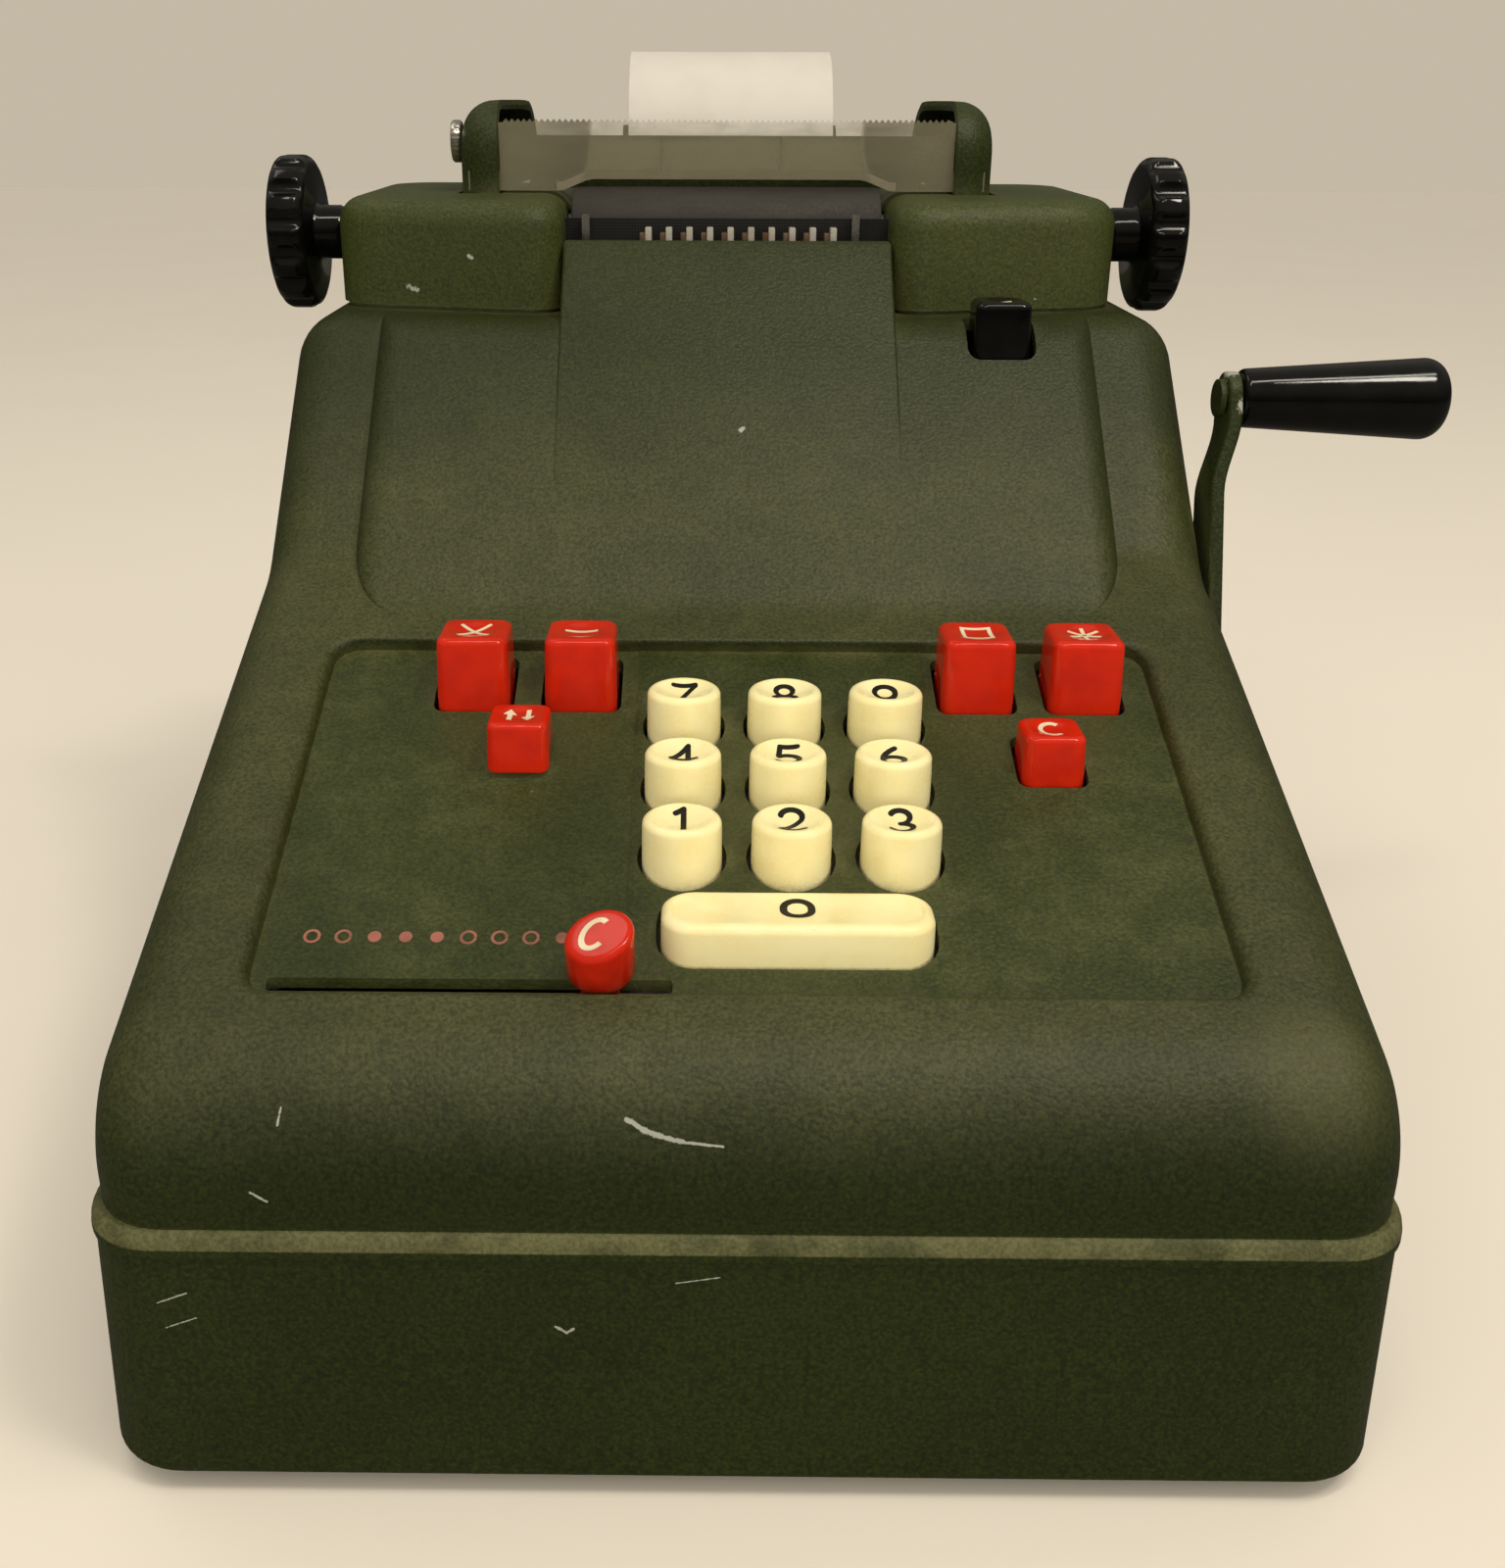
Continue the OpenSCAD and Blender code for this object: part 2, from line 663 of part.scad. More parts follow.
module key_guide_plate() {
    tall = 30;
    guide_front = opening_front + 3;
    color(steel)
    difference() {
        on_keyboard()
            translate([0, guide_front + opening_len / 2, guide_n - plate_t])
            linear_extrude(plate_t)
            rounded_rect(2 * (opening_half_w + plate_lap), opening_len, opening_r);
        for (p = key_stems)
            translate([p[0], p[1], plate_z(p[1]) - guide_depth - tall / 2])
                cylinder(d = stem_d + 2 * running, h = tall);
        on_keyboard()
            translate([0, 0, guide_n - tall / 2]) at_posts() cylinder(d = post_pin_d, h = tall);
    }
}

module plate_posts() {
    color(steel)
    on_keyboard()
        translate([0, 0, guide_n])
        at_posts() {
            cylinder(d = post_d, h = guide_depth - plate_t);
            translate([0, 0, -plate_t])
                cylinder(d = post_pin_d - 2 * seat, h = guide_depth + plate_t - seat);
        }
}

// Depths and heights of what the side frames carry
rail_y = slider_y - 2;
rail_z = plate_z(slider_y) - 17;
register_y = front + cover_y - 3;
register_z = 120;
register_d = 6;
bar_guide_z = deck_h - 43.5;
bar_guide_h = 24;
bar_guide_d = 12;
frame_front = front + 20;
frame_back = back - 32;
ties = [[front + 66, 46], [spring_y, spring_anchor_z], [frame_back - 13, 60], [frame_back - 28, 130]];
tie_spigot_d = tie_d - 3;
bush_d = shaft_d + 6;
release_guide_z = deck_h - 33.5;

frame_foot_y = front + foot_inset + foot_neck_d / 2 + 5;
frame_bend_y = front + 138;
frame_deck_y = front + cover_y + 14;
frame_under_plate = 9;
frame_under_deck = 14;
frame_flange_w = 16;

module frame_outline() {
    polygon([
        [frame_foot_y, floor_z],
        [frame_front, floor_z + 12],
        [frame_front, plate_z(frame_front) - frame_under_plate],
        [frame_bend_y, plate_z(frame_bend_y) - frame_under_plate],
        [frame_deck_y, deck_h - frame_under_deck],
        [frame_back, deck_h - frame_under_deck],
        [frame_back, floor_z]
    ]);
}

module side_frame(x) {
    side = sign(x);
    difference() {
        union() {
            side_plate(x - frame_t / 2, frame_t) frame_outline();
            translate([side > 0 ? x - frame_flange_w : x, frame_foot_y, floor_z])
                cube([frame_flange_w, frame_back - frame_foot_y, flange_t]);
        }
        for (t = ties) rod_x(x - frame_t, x + frame_t, t[0], t[1], tie_spigot_d + 2 * seat);
        rod_x(x - frame_t, x + frame_t, rail_y, rail_z, rail_d + 2 * seat);
        rod_x(x - frame_t, x + frame_t, register_y, register_z, register_d + 2 * running);
        rod_x(x - frame_t, x + frame_t, pivot_yc, pivot_z, bush_d + 2 * seat);
        at_corners(screw_x, screw_y)
            translate([0, 0, floor_z - 1]) cylinder(d = screw_d + 2 * seat, h = flange_t + 2);
    }
}

module left_side_frame() {
    color(steel) side_frame(-frame_x);
}

module right_side_frame() {
    color(steel)
    difference() {
        union() {
            side_frame(frame_x);
            translate([release_x - 9, front + release_y - 7, release_guide_z])
                cube([frame_x - release_x + 9, 14, flange_t]);
        }
        translate([release_x, front + release_y, release_guide_z - 1])
            cylinder(d = stem_d + 2 * running, h = flange_t + 2);
    }
}

frame_gap = 2 * frame_x - frame_t;

module tie_rods() {
    color(steel)
    for (t = ties) {
        rod_x(-frame_gap / 2, frame_gap / 2, t[0], t[1], tie_d);
        frame_rod(t[0], t[1], tie_spigot_d);
    }
}

module type_guide() {
    color(steel)
    difference() {
        translate([-frame_gap / 2, front + bar_y - bar_guide_d / 2, bar_guide_z])
            cube([frame_gap, bar_guide_d, bar_guide_h]);
        for (i = [0:bars - 1])
            translate([bar_x(i) - bar_t / 2 - 0.3, front + bar_y - bar_depth / 2 - 0.3, bar_guide_z - 1])
                cube([bar_t + 0.6, bar_depth + 0.6, bar_guide_h + 2]);
    }
}

type_mid_x = carriage_x + 3;
bar_depth = 4;
function bar_x(i) = type_mid_x + (i - (bars - 1) / 2) * bar_pitch;

module type_bars() {
    head_w = bar_t + 0.8;
    head_h = 7;
    bar_bottom = bar_guide_z - bar_lift - 16;
    bar_top = platen_z + 3;
    color("#b08d5a")
    for (i = [0:bars - 1]) {
        translate([bar_x(i) - bar_t / 2, front + bar_y - bar_depth / 2, bar_bottom])
            cube([bar_t, bar_depth, bar_top - bar_bottom - head_h + eps]);
        translate([bar_x(i) - head_w / 2, front + bar_y - bar_depth / 2, bar_top - head_h])
            cube([head_w, bar_depth, head_h]);
    }
}

module register_wheels() {
    hub_d = 12;
    color(steel) {
        frame_rod(register_y, register_z, register_d);
        rod_x(bar_x(0) - 4, bar_x(bars - 1) + 4, register_y, register_z, hub_d);
        for (i = [0:bars - 1]) rod_x(bar_x(i) - 1.2, bar_x(i) + 1.2, register_y, register_z, wheel_d);
    }
}

// Outline of a cover in plan, set in by o: swept front, large corners outside, small ones at the gap
function cover_ring(o) =
    let (
        w = cover_half_w - cover_gap / 2,
        small_r = cover_edge_r + 1,
        rake = atan2(cover_sweep, w),
        line = o / cos(rake)
    )
    rounded_outline(
        [
            [o - w, (w - o) * tan(rake) + line], [o - w, cover_d - o],
            [-o, cover_d - o], [-o, o * tan(rake) + line]
        ],
        [cover_r - o, cover_r - o, small_r - o, small_r - o], cover_arc_n);

cover_arc_n = 6;

// Closed form of a cover with rounded top edges, set in all round by wall
module cover_form(wall, low) {
    edge = cover_edge_r - wall;
    edge_n = 5;
    rings = concat(
        [[wall, low]],
        [for (k = [0:edge_n]) let (f = 90 * k / edge_n)
            [wall + edge * (1 - cos(f)), cover_top - wall - edge * (1 - sin(f))]]
    );
    loft([for (v = rings) [cover_ring(v[0]), v[1]]]);
}

ear_slot_w = cheek_rim + 2 * free;
ear_slot_d = cheek_d + 2 * free;
shaft_room = 1;

module carriage_cover() {
    color(green)
    difference() {
        cover_form(0, cover_z);
        cover_form(cover_wall, cover_z - 1);
        translate([-cover_half_w + cover_gap / 2 - 1, platen_y - cover_y, platen_z]) rotate([0, 90, 0])
            cylinder(d = platen_shaft_d + 2 * shaft_room, h = cover_half_w);
        translate([-cheek_half_w + cover_gap / 2 - free, cheek_y - cover_y - free, cover_top - 12])
            cube([ear_slot_w, ear_slot_d, 20]);
        translate([-cover_wall - 1, ribbon_y - front - cover_y - 2, ribbon_z - 1])
            cube([cover_wall + 2, 4, ribbon_h + 2]);
    }
}

module left_carriage_cover() {
    translate([carriage_x - cover_gap / 2, front + cover_y, 0]) carriage_cover();
}

module right_carriage_cover() {
    translate([carriage_x + cover_gap / 2, front + cover_y, 0]) mirror([1, 0, 0]) carriage_cover();
}

shaft_clear_y = platen_y + platen_shaft_d / 2 + 3;

module cheek_outline(inset) {
    low = deck_h + seat;
    polygon(rounded_outline(
        [
            [front + cheek_y + inset, low], [front + cheek_y + inset, cheek_top - inset],
            [front + cheek_y + cheek_d - inset, cheek_top - inset], [front + cheek_y + cheek_d - inset, low]
        ],
        [0, 14 - inset, 28 - inset, 0], 8));
}

module cheek_edge() {
    difference() {
        cheek_outline(0);
        cheek_outline(cheek_t);
    }
}

// A flat cheek with a rim turned in along its front, top and back
module cheek() {
    color(green)
    difference() {
        union() {
            side_plate(-cheek_half_w, cheek_t) cheek_outline(0);
            side_plate(-cheek_half_w, cheek_rim) cheek_edge();
            side_plate(-cheek_half_w, cheek_rim_back)
                intersection() {
                    cheek_edge();
                    translate([front + cheek_y + cheek_d / 2, cover_top + 1]) square(cheek_d);
                }
        }
        translate([-cheek_half_w - 1, front + cheek_y - 1, deck_h - 1])
            cube([cheek_rim + 2, shaft_clear_y - cheek_y + 1, cover_top - deck_h - cover_wall]);
    }
}

module left_cheek() {
    translate([carriage_x, 0, 0]) cheek();
}

module right_cheek() {
    translate([carriage_x, 0, 0]) mirror([1, 0, 0]) cheek();
}

module cheek_thumb_screw() {
    disc_t = 3;
    disc_d = 11;
    color(steel)
    rod_x(carriage_x - cheek_half_w - disc_t, carriage_x - cheek_half_w, front + cheek_y + 14,
        cheek_top - 10.5, disc_d);
}

window_half_w = cheek_half_w - cheek_rim - seat;
window_y = front + cheek_y + cheek_t + seat;

// A toothed strip between the cheeks, with a lug behind each cheek's rim
module tear_window() {
    lug_x = cheek_half_w - cheek_t - seat;
    lug_h = 5;
    ends_z = cover_top + 0.6;
    raised_z = ends_z + 2;
    step = 4;
    teeth = floor(2 * window_half_w / tooth_pitch) - 1;
    tooth_h = 0.9;
    color("#b9b39c", 0.6)
    translate([carriage_x, window_y + window_t, 0]) rotate([90, 0, 0])
        linear_extrude(window_t)
        polygon(concat(
            [
                [lug_x, ends_z], [lug_x, ends_z + lug_h], [window_half_w, ends_z + lug_h],
                [window_half_w, window_top - tooth_h]
            ],
            [for (i = [0:teeth - 1], k = [0, 1])
                [teeth * tooth_pitch / 2 - (i + k / 2) * tooth_pitch, window_top - tooth_h * (1 - k)]],
            [
                [-window_half_w, window_top - tooth_h], [-window_half_w, ends_z + lug_h],
                [-lug_x, ends_z + lug_h], [-lug_x, ends_z],
                [-cover_gap / 2 - step, ends_z], [-cover_gap / 2 + step, raised_z],
                [cover_gap / 2 - step, raised_z], [cover_gap / 2 + step, ends_z]
            ]
        ));
}

table_y = deck_cut_y + deck_cut_d + 1.5;
table_half_w = cheek_half_w - cheek_rim_back - free;

module paper_table() {
    table_t = 1.5;
    foot_len = 8;
    low_half_w = cover_gap / 2 - free;
    over_covers = cover_top + free;
    color(green)
    translate([carriage_x, table_y, 0]) {
        translate([-low_half_w, 0, deck_h + seat]) {
            cube([2 * low_half_w, table_t, table_top - deck_h - seat]);
            cube([2 * low_half_w, foot_len, table_t]);
        }
        translate([-table_half_w, 0, over_covers])
            cube([2 * table_half_w, table_t, table_top - over_covers]);
    }
}

platen_half_w = cover_gap / 2 - 1;

module platen_roller() {
    color(black)
    difference() {
        rod_x(carriage_x - platen_half_w, carriage_x + platen_half_w, platen_yc, platen_z, platen_d);
        rod_x(carriage_x - platen_half_w - 1, carriage_x + platen_half_w + 1, platen_yc, platen_z,
            platen_shaft_d + 2 * seat);
    }
}

module platen_shaft() {
    reach = knob_in + knob_t / 2;
    color(steel)
    rod_x(carriage_x - reach, carriage_x + reach, platen_yc, platen_z, platen_shaft_d);
}

// A fluted hand wheel with a neck, opening towards +X
module platen_knob() {
    neck = knob_in - cover_half_w - 1;
    edge = 3;
    flute_d = 6;
    color(black)
    difference() {
        rotate([0, 90, 0])
        difference() {
            rotate_extrude(convexity = 4)
                polygon([
                    [0, -knob_t], [knob_d / 2 - edge, -knob_t], [knob_d / 2, edge - knob_t],
                    [knob_d / 2, -edge], [knob_d / 2 - edge, 0], [knob_neck_d / 2, 0],
                    [knob_neck_d / 2, neck], [0, neck]
                ]);
            for (i = [0:knob_flutes - 1])
                rotate([0, 0, 360 * (i + 0.5) / knob_flutes])
                translate([knob_d / 2 + flute_d / 2 - 1.4, 0, -knob_t - 1])
                cylinder(d = flute_d, h = knob_t + 2);
        }
        rod_x(-knob_t / 2 - seat, neck + 1, 0, 0, platen_shaft_d + 2 * seat);
    }
}

module left_platen_knob() {
    translate([carriage_x - knob_in, platen_yc, platen_z]) platen_knob();
}

module right_platen_knob() {
    translate([carriage_x + knob_in, platen_yc, platen_z]) mirror([1, 0, 0]) platen_knob();
}

module platen_bearings() {
    bearing_t = 8;
    bearing_w = platen_shaft_d + 5;
    bearing_x = (cover_half_w + cheek_half_w) / 2;
    color(steel)
    for (side = [-1, 1])
        translate([carriage_x + side * bearing_x - bearing_t / 2, 0, 0])
        difference() {
            union() {
                translate([0, platen_yc - bearing_w / 2, deck_h + seat])
                    cube([bearing_t, bearing_w, platen_z - deck_h - seat]);
                rod_x(0, bearing_t, platen_yc, platen_z, bearing_w);
            }
            rod_x(-1, bearing_t + 1, platen_yc, platen_z, platen_shaft_d + 2 * running);
        }
}

roll_x = 1.5 + carriage_x;
arm_gap = roll_w / 2 + free;
paper_arm_t = 2;

module paper_roll() {
    color("#f4f2ea")
    difference() {
        rod_x(roll_x - roll_w / 2, roll_x + roll_w / 2, front + roll_y, roll_z, roll_d);
        rod_x(roll_x - roll_w / 2 - 1, roll_x + roll_w / 2 + 1, front + roll_y, roll_z,
            spindle_d + 2 * running);
    }
}

module paper_spindle() {
    color(steel)
    rod_x(roll_x - arm_gap - paper_arm_t - 1, roll_x + arm_gap + paper_arm_t + 1, front + roll_y, roll_z,
        spindle_d);
}

module paper_arms() {
    arm_w = spindle_d + 8;
    foot_len = 10;
    color(green)
    for (side = [0, 1])
        translate([roll_x, front + roll_y, 0])
        mirror([side, 0, 0])
        translate([arm_gap, 0, 0])
        difference() {
            union() {
                translate([0, -arm_w / 2, deck_h + seat]) cube([paper_arm_t, arm_w / 2, roll_z - deck_h]);
                translate([0, -arm_w / 2, deck_h + seat]) cube([foot_len, arm_w / 2, paper_arm_t]);
                rod_x(0, paper_arm_t, 0, roll_z, arm_w);
            }
            rod_x(-1, paper_arm_t + 1, 0, roll_z, spindle_d + 2 * seat);
        }
}

ribbon_y = front + bar_y + bar_depth / 2 + 1;
ribbon_t = 0.3;
ribbon_h = 10.4;
ribbon_z = platen_z - 5.4;
spool_x = cover_gap / 2 + 14;
spool_pack_r = 5.2;
spool_r = 7.4;
spool_bore = 3;
guide_x = platen_half_w - 6;
guide_mid_x = carriage_x - 1.6;

module ribbon_guides() {
    post_w = 2;
    color(steel)
    for (side = [-1, 1]) {
        translate([guide_mid_x + side * guide_x - post_w / 2, ribbon_y - 3, deck_h + seat])
            cube([post_w, 2, ribbon_z + ribbon_h - deck_h + 1]);
        translate([guide_mid_x + side * guide_x - post_w / 2, band_back, deck_h + seat])
            cube([post_w, ribbon_y - band_back - 1, 2]);
        translate([carriage_x + side * spool_x, ribbon_y - spool_pack_r - seat, deck_h + seat]) {
            cylinder(d = spool_bore - 2 * running, h = ribbon_z + ribbon_h - deck_h + 1);
            cylinder(d = spool_bore + 4, h = ribbon_z - deck_h - 2);
        }
    }
}

module ribbon_spool(side) {
    color(black)
    translate([carriage_x + side * spool_x, ribbon_y - spool_pack_r - seat, ribbon_z - 1.5])
    difference() {
        union() {
            cylinder(r = spool_r, h = 1);
            cylinder(r = spool_pack_r, h = ribbon_h + 3);
            translate([0, 0, ribbon_h + 2]) cylinder(r = spool_r, h = 1);
        }
        translate([0, 0, -1]) cylinder(d = spool_bore, h = ribbon_h + 6);
    }
}

module left_ribbon_spool() {
    ribbon_spool(-1);
}

module right_ribbon_spool() {
    ribbon_spool(1);
}

module ribbon() {
    color("#22202a")
    translate([carriage_x - spool_x, ribbon_y, ribbon_z]) cube([2 * spool_x, ribbon_t, ribbon_h]);
}

hub_d = 24;
eye_d = 12.7;

// The arm in its own upright frame: pivot at the origin, eye straight above
module arm_blank() {
    bend_low = 0.76 * crank_len;
    bend_high = 0.9 * crank_len;
    function arm_w(z) = hub_d * 0.8 + (eye_d - hub_d * 0.8) * z / crank_len;
    module slice(x, z) {
        translate([x, -arm_w(z) / 2, z]) cube([arm_t, arm_w(z), eps]);
    }
    hull() {
        slice(0, 0);
        slice(0, bend_low);
    }
    hull() {
        slice(0, bend_low);
        slice(arm_joggle, bend_high);
    }
    hull() {
        slice(arm_joggle, bend_high);
        slice(arm_joggle, crank_len);
    }
    rod_x(arm_joggle, arm_joggle + arm_t, 0, crank_len, eye_d);
    rod_x(-1, arm_t + 2, 0, 0, hub_d);
}

module crank_arm() {
    color(green)
    translate([arm_x, pivot_yc, pivot_z])
    rotate([-crank_lean, 0, 0])
    difference() {
        arm_blank();
        rod_x(-2, arm_t + 3, 0, 0, shaft_d + 2 * seat);
        rod_x(0, arm_joggle + arm_t + 1, 0, crank_len, pin_d + 2 * seat);
    }
}

pin_in_grip = grip_len - 9;

module grip_pin() {
    color(steel) {
        rod_x(eye_x, grip_x + pin_in_grip, eye_y, eye_z, pin_d);
        rod_x(eye_x - 1.4, eye_x, eye_y, eye_z, pin_d + 3);
    }
}

module crank_grip() {
    end_r = 6;
    color(black)
    translate([grip_x, eye_y, eye_z]) rotate([0, 90, 0])
    difference() {
        rotate_extrude(convexity = 4)
            polygon(concat(
                [[0, 0], [grip_d_in / 2 - 1, 0], [grip_d_in / 2, 1]],
                corner_arc([grip_d_in / 2, 1], [grip_d_out / 2, grip_len], [0, grip_len], end_r, 8),
                [[0, grip_len]]
            ));
        translate([0, 0, -1]) cylinder(d = pin_d + 2 * running, h = pin_in_grip + 1 + free);
    }
}

nut_t = 4;

module main_shaft() {
    hub_end = arm_x + arm_t + 2;
    color(steel) {
        rod_x(-frame_x - 4, hub_end + eps, pivot_yc, pivot_z, shaft_d);
        rod_x(hub_end, hub_end + nut_t, pivot_yc, pivot_z, shaft_d + 6);
    }
}

module shaft_bushes() {
    inner = frame_x - frame_t / 2;
    outer = frame_x + frame_t / 2;
    lip = 2;
    color("#b5893c")
    for (side = [0, 1])
        mirror([side, 0, 0])
        difference() {
            union() {
                rod_x(inner - lip, outer + 1, pivot_yc, pivot_z, bush_d);
                rod_x(inner - lip, inner, pivot_yc, pivot_z, bush_d + 2 * lip);
            }
            rod_x(inner - 2 * lip, outer + 2 * lip, pivot_yc, pivot_z, shaft_d + 2 * running);
        }
}

stud_d = 5;

module drive_lever() {
    lever_hub_d = 20;
    lever_w = 12;
    color(steel)
    difference() {
        translate([lever_x, pivot_yc, pivot_z]) rotate([-lever_droop, 0, 0]) {
            rod_x(0, lever_t + 4, 0, 0, lever_hub_d);
            translate([0, 0, -lever_w / 2]) cube([lever_t / 2, lever_len, lever_w]);
            rod_x(0, lever_t / 2, lever_len, 0, lever_w);
            rod_x(0, lever_t + 10, lever_len, 0, stud_d);
        }
        rod_x(lever_x - 1, lever_x + lever_t + 5, pivot_yc, pivot_z, shaft_d + 2 * seat);
    }
}

// One unbroken wire: rings swept along a helix with straight ends
module return_spring() {
    wire_d = 1.4;
    coil_r = 5;
    turns = 14;
    sides = 6;
    top_z = stud_z - (stud_d + wire_d) / 2 - seat;
    low_z = spring_anchor_z + (tie_d + wire_d) / 2 + seat;
    steps = turns * 8;
    lead = 5;
    path = concat(
        [[0, 0, low_z]],
        [for (k = [0:steps]) let (a = 360 * turns * k / steps)
            [coil_r * cos(a), coil_r * sin(a), low_z + lead + (top_z - low_z - 2 * lead) * k / steps]],
        [[0, 0, top_z]]
    );
    n = len(path);
    function ahead(k) = path[min(k + 1, n - 1)] - path[max(k - 1, 0)];
    function ring(k) =
        let (
            t = ahead(k) / norm(ahead(k)),
            u0 = abs(t[2]) > 0.9 ? [1, 0, 0] : [0, 0, 1],
            u = cross(u0, t) / norm(cross(u0, t)),
            v = cross(t, u)
        )
        [for (i = [0:sides - 1]) let (a = 360 * i / sides)
            path[k] + wire_d / 2 * (cos(a) * u + sin(a) * v)];
    color(steel)
    translate([lever_x + lever_t + 3, spring_y, 0])
        polyhedron(
            [for (k = [0:n - 1]) each ring(k)],
            concat(
                [[for (i = [0:sides - 1]) i], [for (i = [sides - 1:-1:0]) (n - 1) * sides + i]],
                [for (k = [0:n - 2], i = [0:sides - 1])
                    let (a = k * sides + i, b = k * sides + (i + 1) % sides)
                    each [[a, a + sides, b], [b, a + sides, b + sides]]]
            ),
            convexity = 10);
}

skirt = 6.5;
stem_below = key_travel + 5;
collar_t = 1.5;

// A stem from a key's skirt down through the guide plate, with its stop collar
module key_stem(y, tilt_room) {
    top = plate_z(y) - skirt;
    guide_top = plate_z(y) - guide_depth / cos(keyboard_slope);
    guide_low = guide_top - plate_t / cos(keyboard_slope);
    translate([0, 0, guide_low - stem_below]) cylinder(d = stem_d, h = top - guide_low + stem_below + eps);
    translate([0, 0, guide_low - tilt_room - collar_t]) cylinder(d = stem_d + 3, h = collar_t);
}

collar_room = (stem_d + 3) / 2 * tan(keyboard_slope) + 0.3;

module digit_cap(y, rise) {
    dish_r = (digit_d * digit_d / 4 + dish * dish) / (2 * dish);
    translate([0, 0, plate_z(y) - skirt])
    difference() {
        cylinder(d = digit_d, h = skirt + rise);
        translate([0, 0, skirt + rise + dish_r - dish]) sphere(r = dish_r, $fn = 96);
    }
}

module digit_key(number) {
    col = (number - 1) % 3;
    row = floor((number - 1) / 3) + 1;
    y = key_depth(digit_s(row));
    color(cream)
    translate([digit_x(col), y, 0]) {
        digit_cap(y, digit_rise);
        key_stem(y, collar_room);
    }
}

module zero_key() {
    y = key_depth(zero_s);
    color(cream)
    translate([zero_x, y, 0]) {
        translate([0, 0, plate_z(y) - skirt])
            linear_extrude(skirt + zero_rise) rounded_rect(zero_w, digit_d, zero_r);
        for (side = [-1, 1]) translate([side * zero_stem_x, 0, 0]) key_stem(y, collar_room);
    }
}

module square_cap(w, d, z, rise) {
    translate([0, 0, z - skirt]) linear_extrude(skirt + eps) rounded_rect(w, d, 2);
    translate([0, 0, z]) linear_extrude(rise, scale = key_taper) rounded_rect(w, d, 2);
}

module square_key(x, y, w, d, rise) {
    color(red)
    translate([x, y, 0]) {
        square_cap(w, d, plate_z(y), rise);
        key_stem(y, collar_room);
    }
}

module key_0() {
    zero_key();
}

module key_1() {
    digit_key(1);
}

module key_2() {
    digit_key(2);
}

module key_3() {
    digit_key(3);
}

module key_4() {
    digit_key(4);
}

module key_5() {
    digit_key(5);
}

module key_6() {
    digit_key(6);
}

module key_7() {
    digit_key(7);
}

module key_8() {
    digit_key(8);
}

module key_9() {
    digit_key(9);
}

module repeat_key() {
    square_key(function_x(-1, 1), key_depth(function_s), function_w, function_d, function_rise);
}

module minus_key() {
    square_key(function_x(-1, 0), key_depth(function_s), function_w, function_d, function_rise);
}

module subtotal_key() {
    square_key(function_x(1, 0), key_depth(function_s), function_w, function_d, function_rise);
}

module total_key() {
    square_key(function_x(1, 1), key_depth(function_s), function_w, function_d, function_rise);
}

module clear_key() {
    square_key(clear_x, clear_stem[1], small_w, small_d, small_rise);
}

module release_key() {
    rise = 18;
    color(black)
    translate([release_x, front + release_y, 0]) {
        square_cap(release_w, release_w, release_top - rise, rise);
        translate([0, 0, release_guide_z - key_travel - 4])
            cylinder(d = stem_d, h = release_top - rise - skirt - release_guide_z + key_travel + 4 + eps);
        translate([0, 0, release_guide_z - 0.3 - collar_t]) cylinder(d = stem_d + 3, h = collar_t);
    }
}

// An upright cap that rides just over the plate on a thin stem, with a foot under the plate
module two_way_lever() {
    cap_gap = 1.4;
    cap_rise = 9.6;
    foot_t = 1.5;
    foot_gap = 0.35;
    y = key_depth(lever_s);
    color(red) {
        difference() {
            translate([lever_key_x, y, plate_z(y) - cap_gap])
                linear_extrude(cap_rise + cap_gap, scale = key_taper) rounded_rect(small_w, small_d, 2);
            on_keyboard()
                translate([lever_key_x - small_w, lever_s - small_w, plate_n + cap_gap - 2 * small_w])
                cube(2 * small_w);
        }
        on_keyboard()
            translate([lever_key_x, lever_s, plate_n]) {
                translate([-lever_stem_w / 2, -lever_stem_w / 2, -plate_t - foot_gap - foot_t])
                    cube([lever_stem_w, lever_stem_w, plate_t + foot_gap + foot_t + 2 * cap_gap]);
                translate([-lever_stem_w, -lever_stem_w, -plate_t - foot_gap - foot_t])
                    cube([2 * lever_stem_w, 2 * lever_stem_w, foot_t]);
            }
    }
}

block_w = 26;
block_d = 12;
block_h = 12;

module column_slider() {
    knob_s = opening_front + slider_d / 2 + free;
    blade_t = 1.8;
    blade_w = 7;
    knob_gap = 0.8;
    color(red)
    difference() {
        union() {
            on_keyboard()
                translate([slider_x, knob_s, plate_n + knob_gap])
                difference() {
                    cylinder(d = slider_d, h = 2 * knob_h);
                    translate([0, 0, knob_h]) rotate([0, -knob_tilt, 0])
                        translate([-slider_d, -slider_d, 0]) cube([2 * slider_d, 2 * slider_d, 2 * knob_h]);
                }
            translate([slider_x - blade_w / 2, slider_y - blade_t / 2, rail_z])
                cube([blade_w, blade_t, plate_z(slider_y) + 3 - rail_z]);
            translate([slider_x - block_w / 2, rail_y - block_d / 2, rail_z - block_h / 2])
                cube([block_w, block_d, block_h]);
        }
        rod_x(slider_x - block_w, slider_x + block_w, rail_y, rail_z, rail_d + 2 * running);
    }
}

module slider_rail() {
    color(steel)
    frame_rod(rail_y, rail_z, rail_d);
}

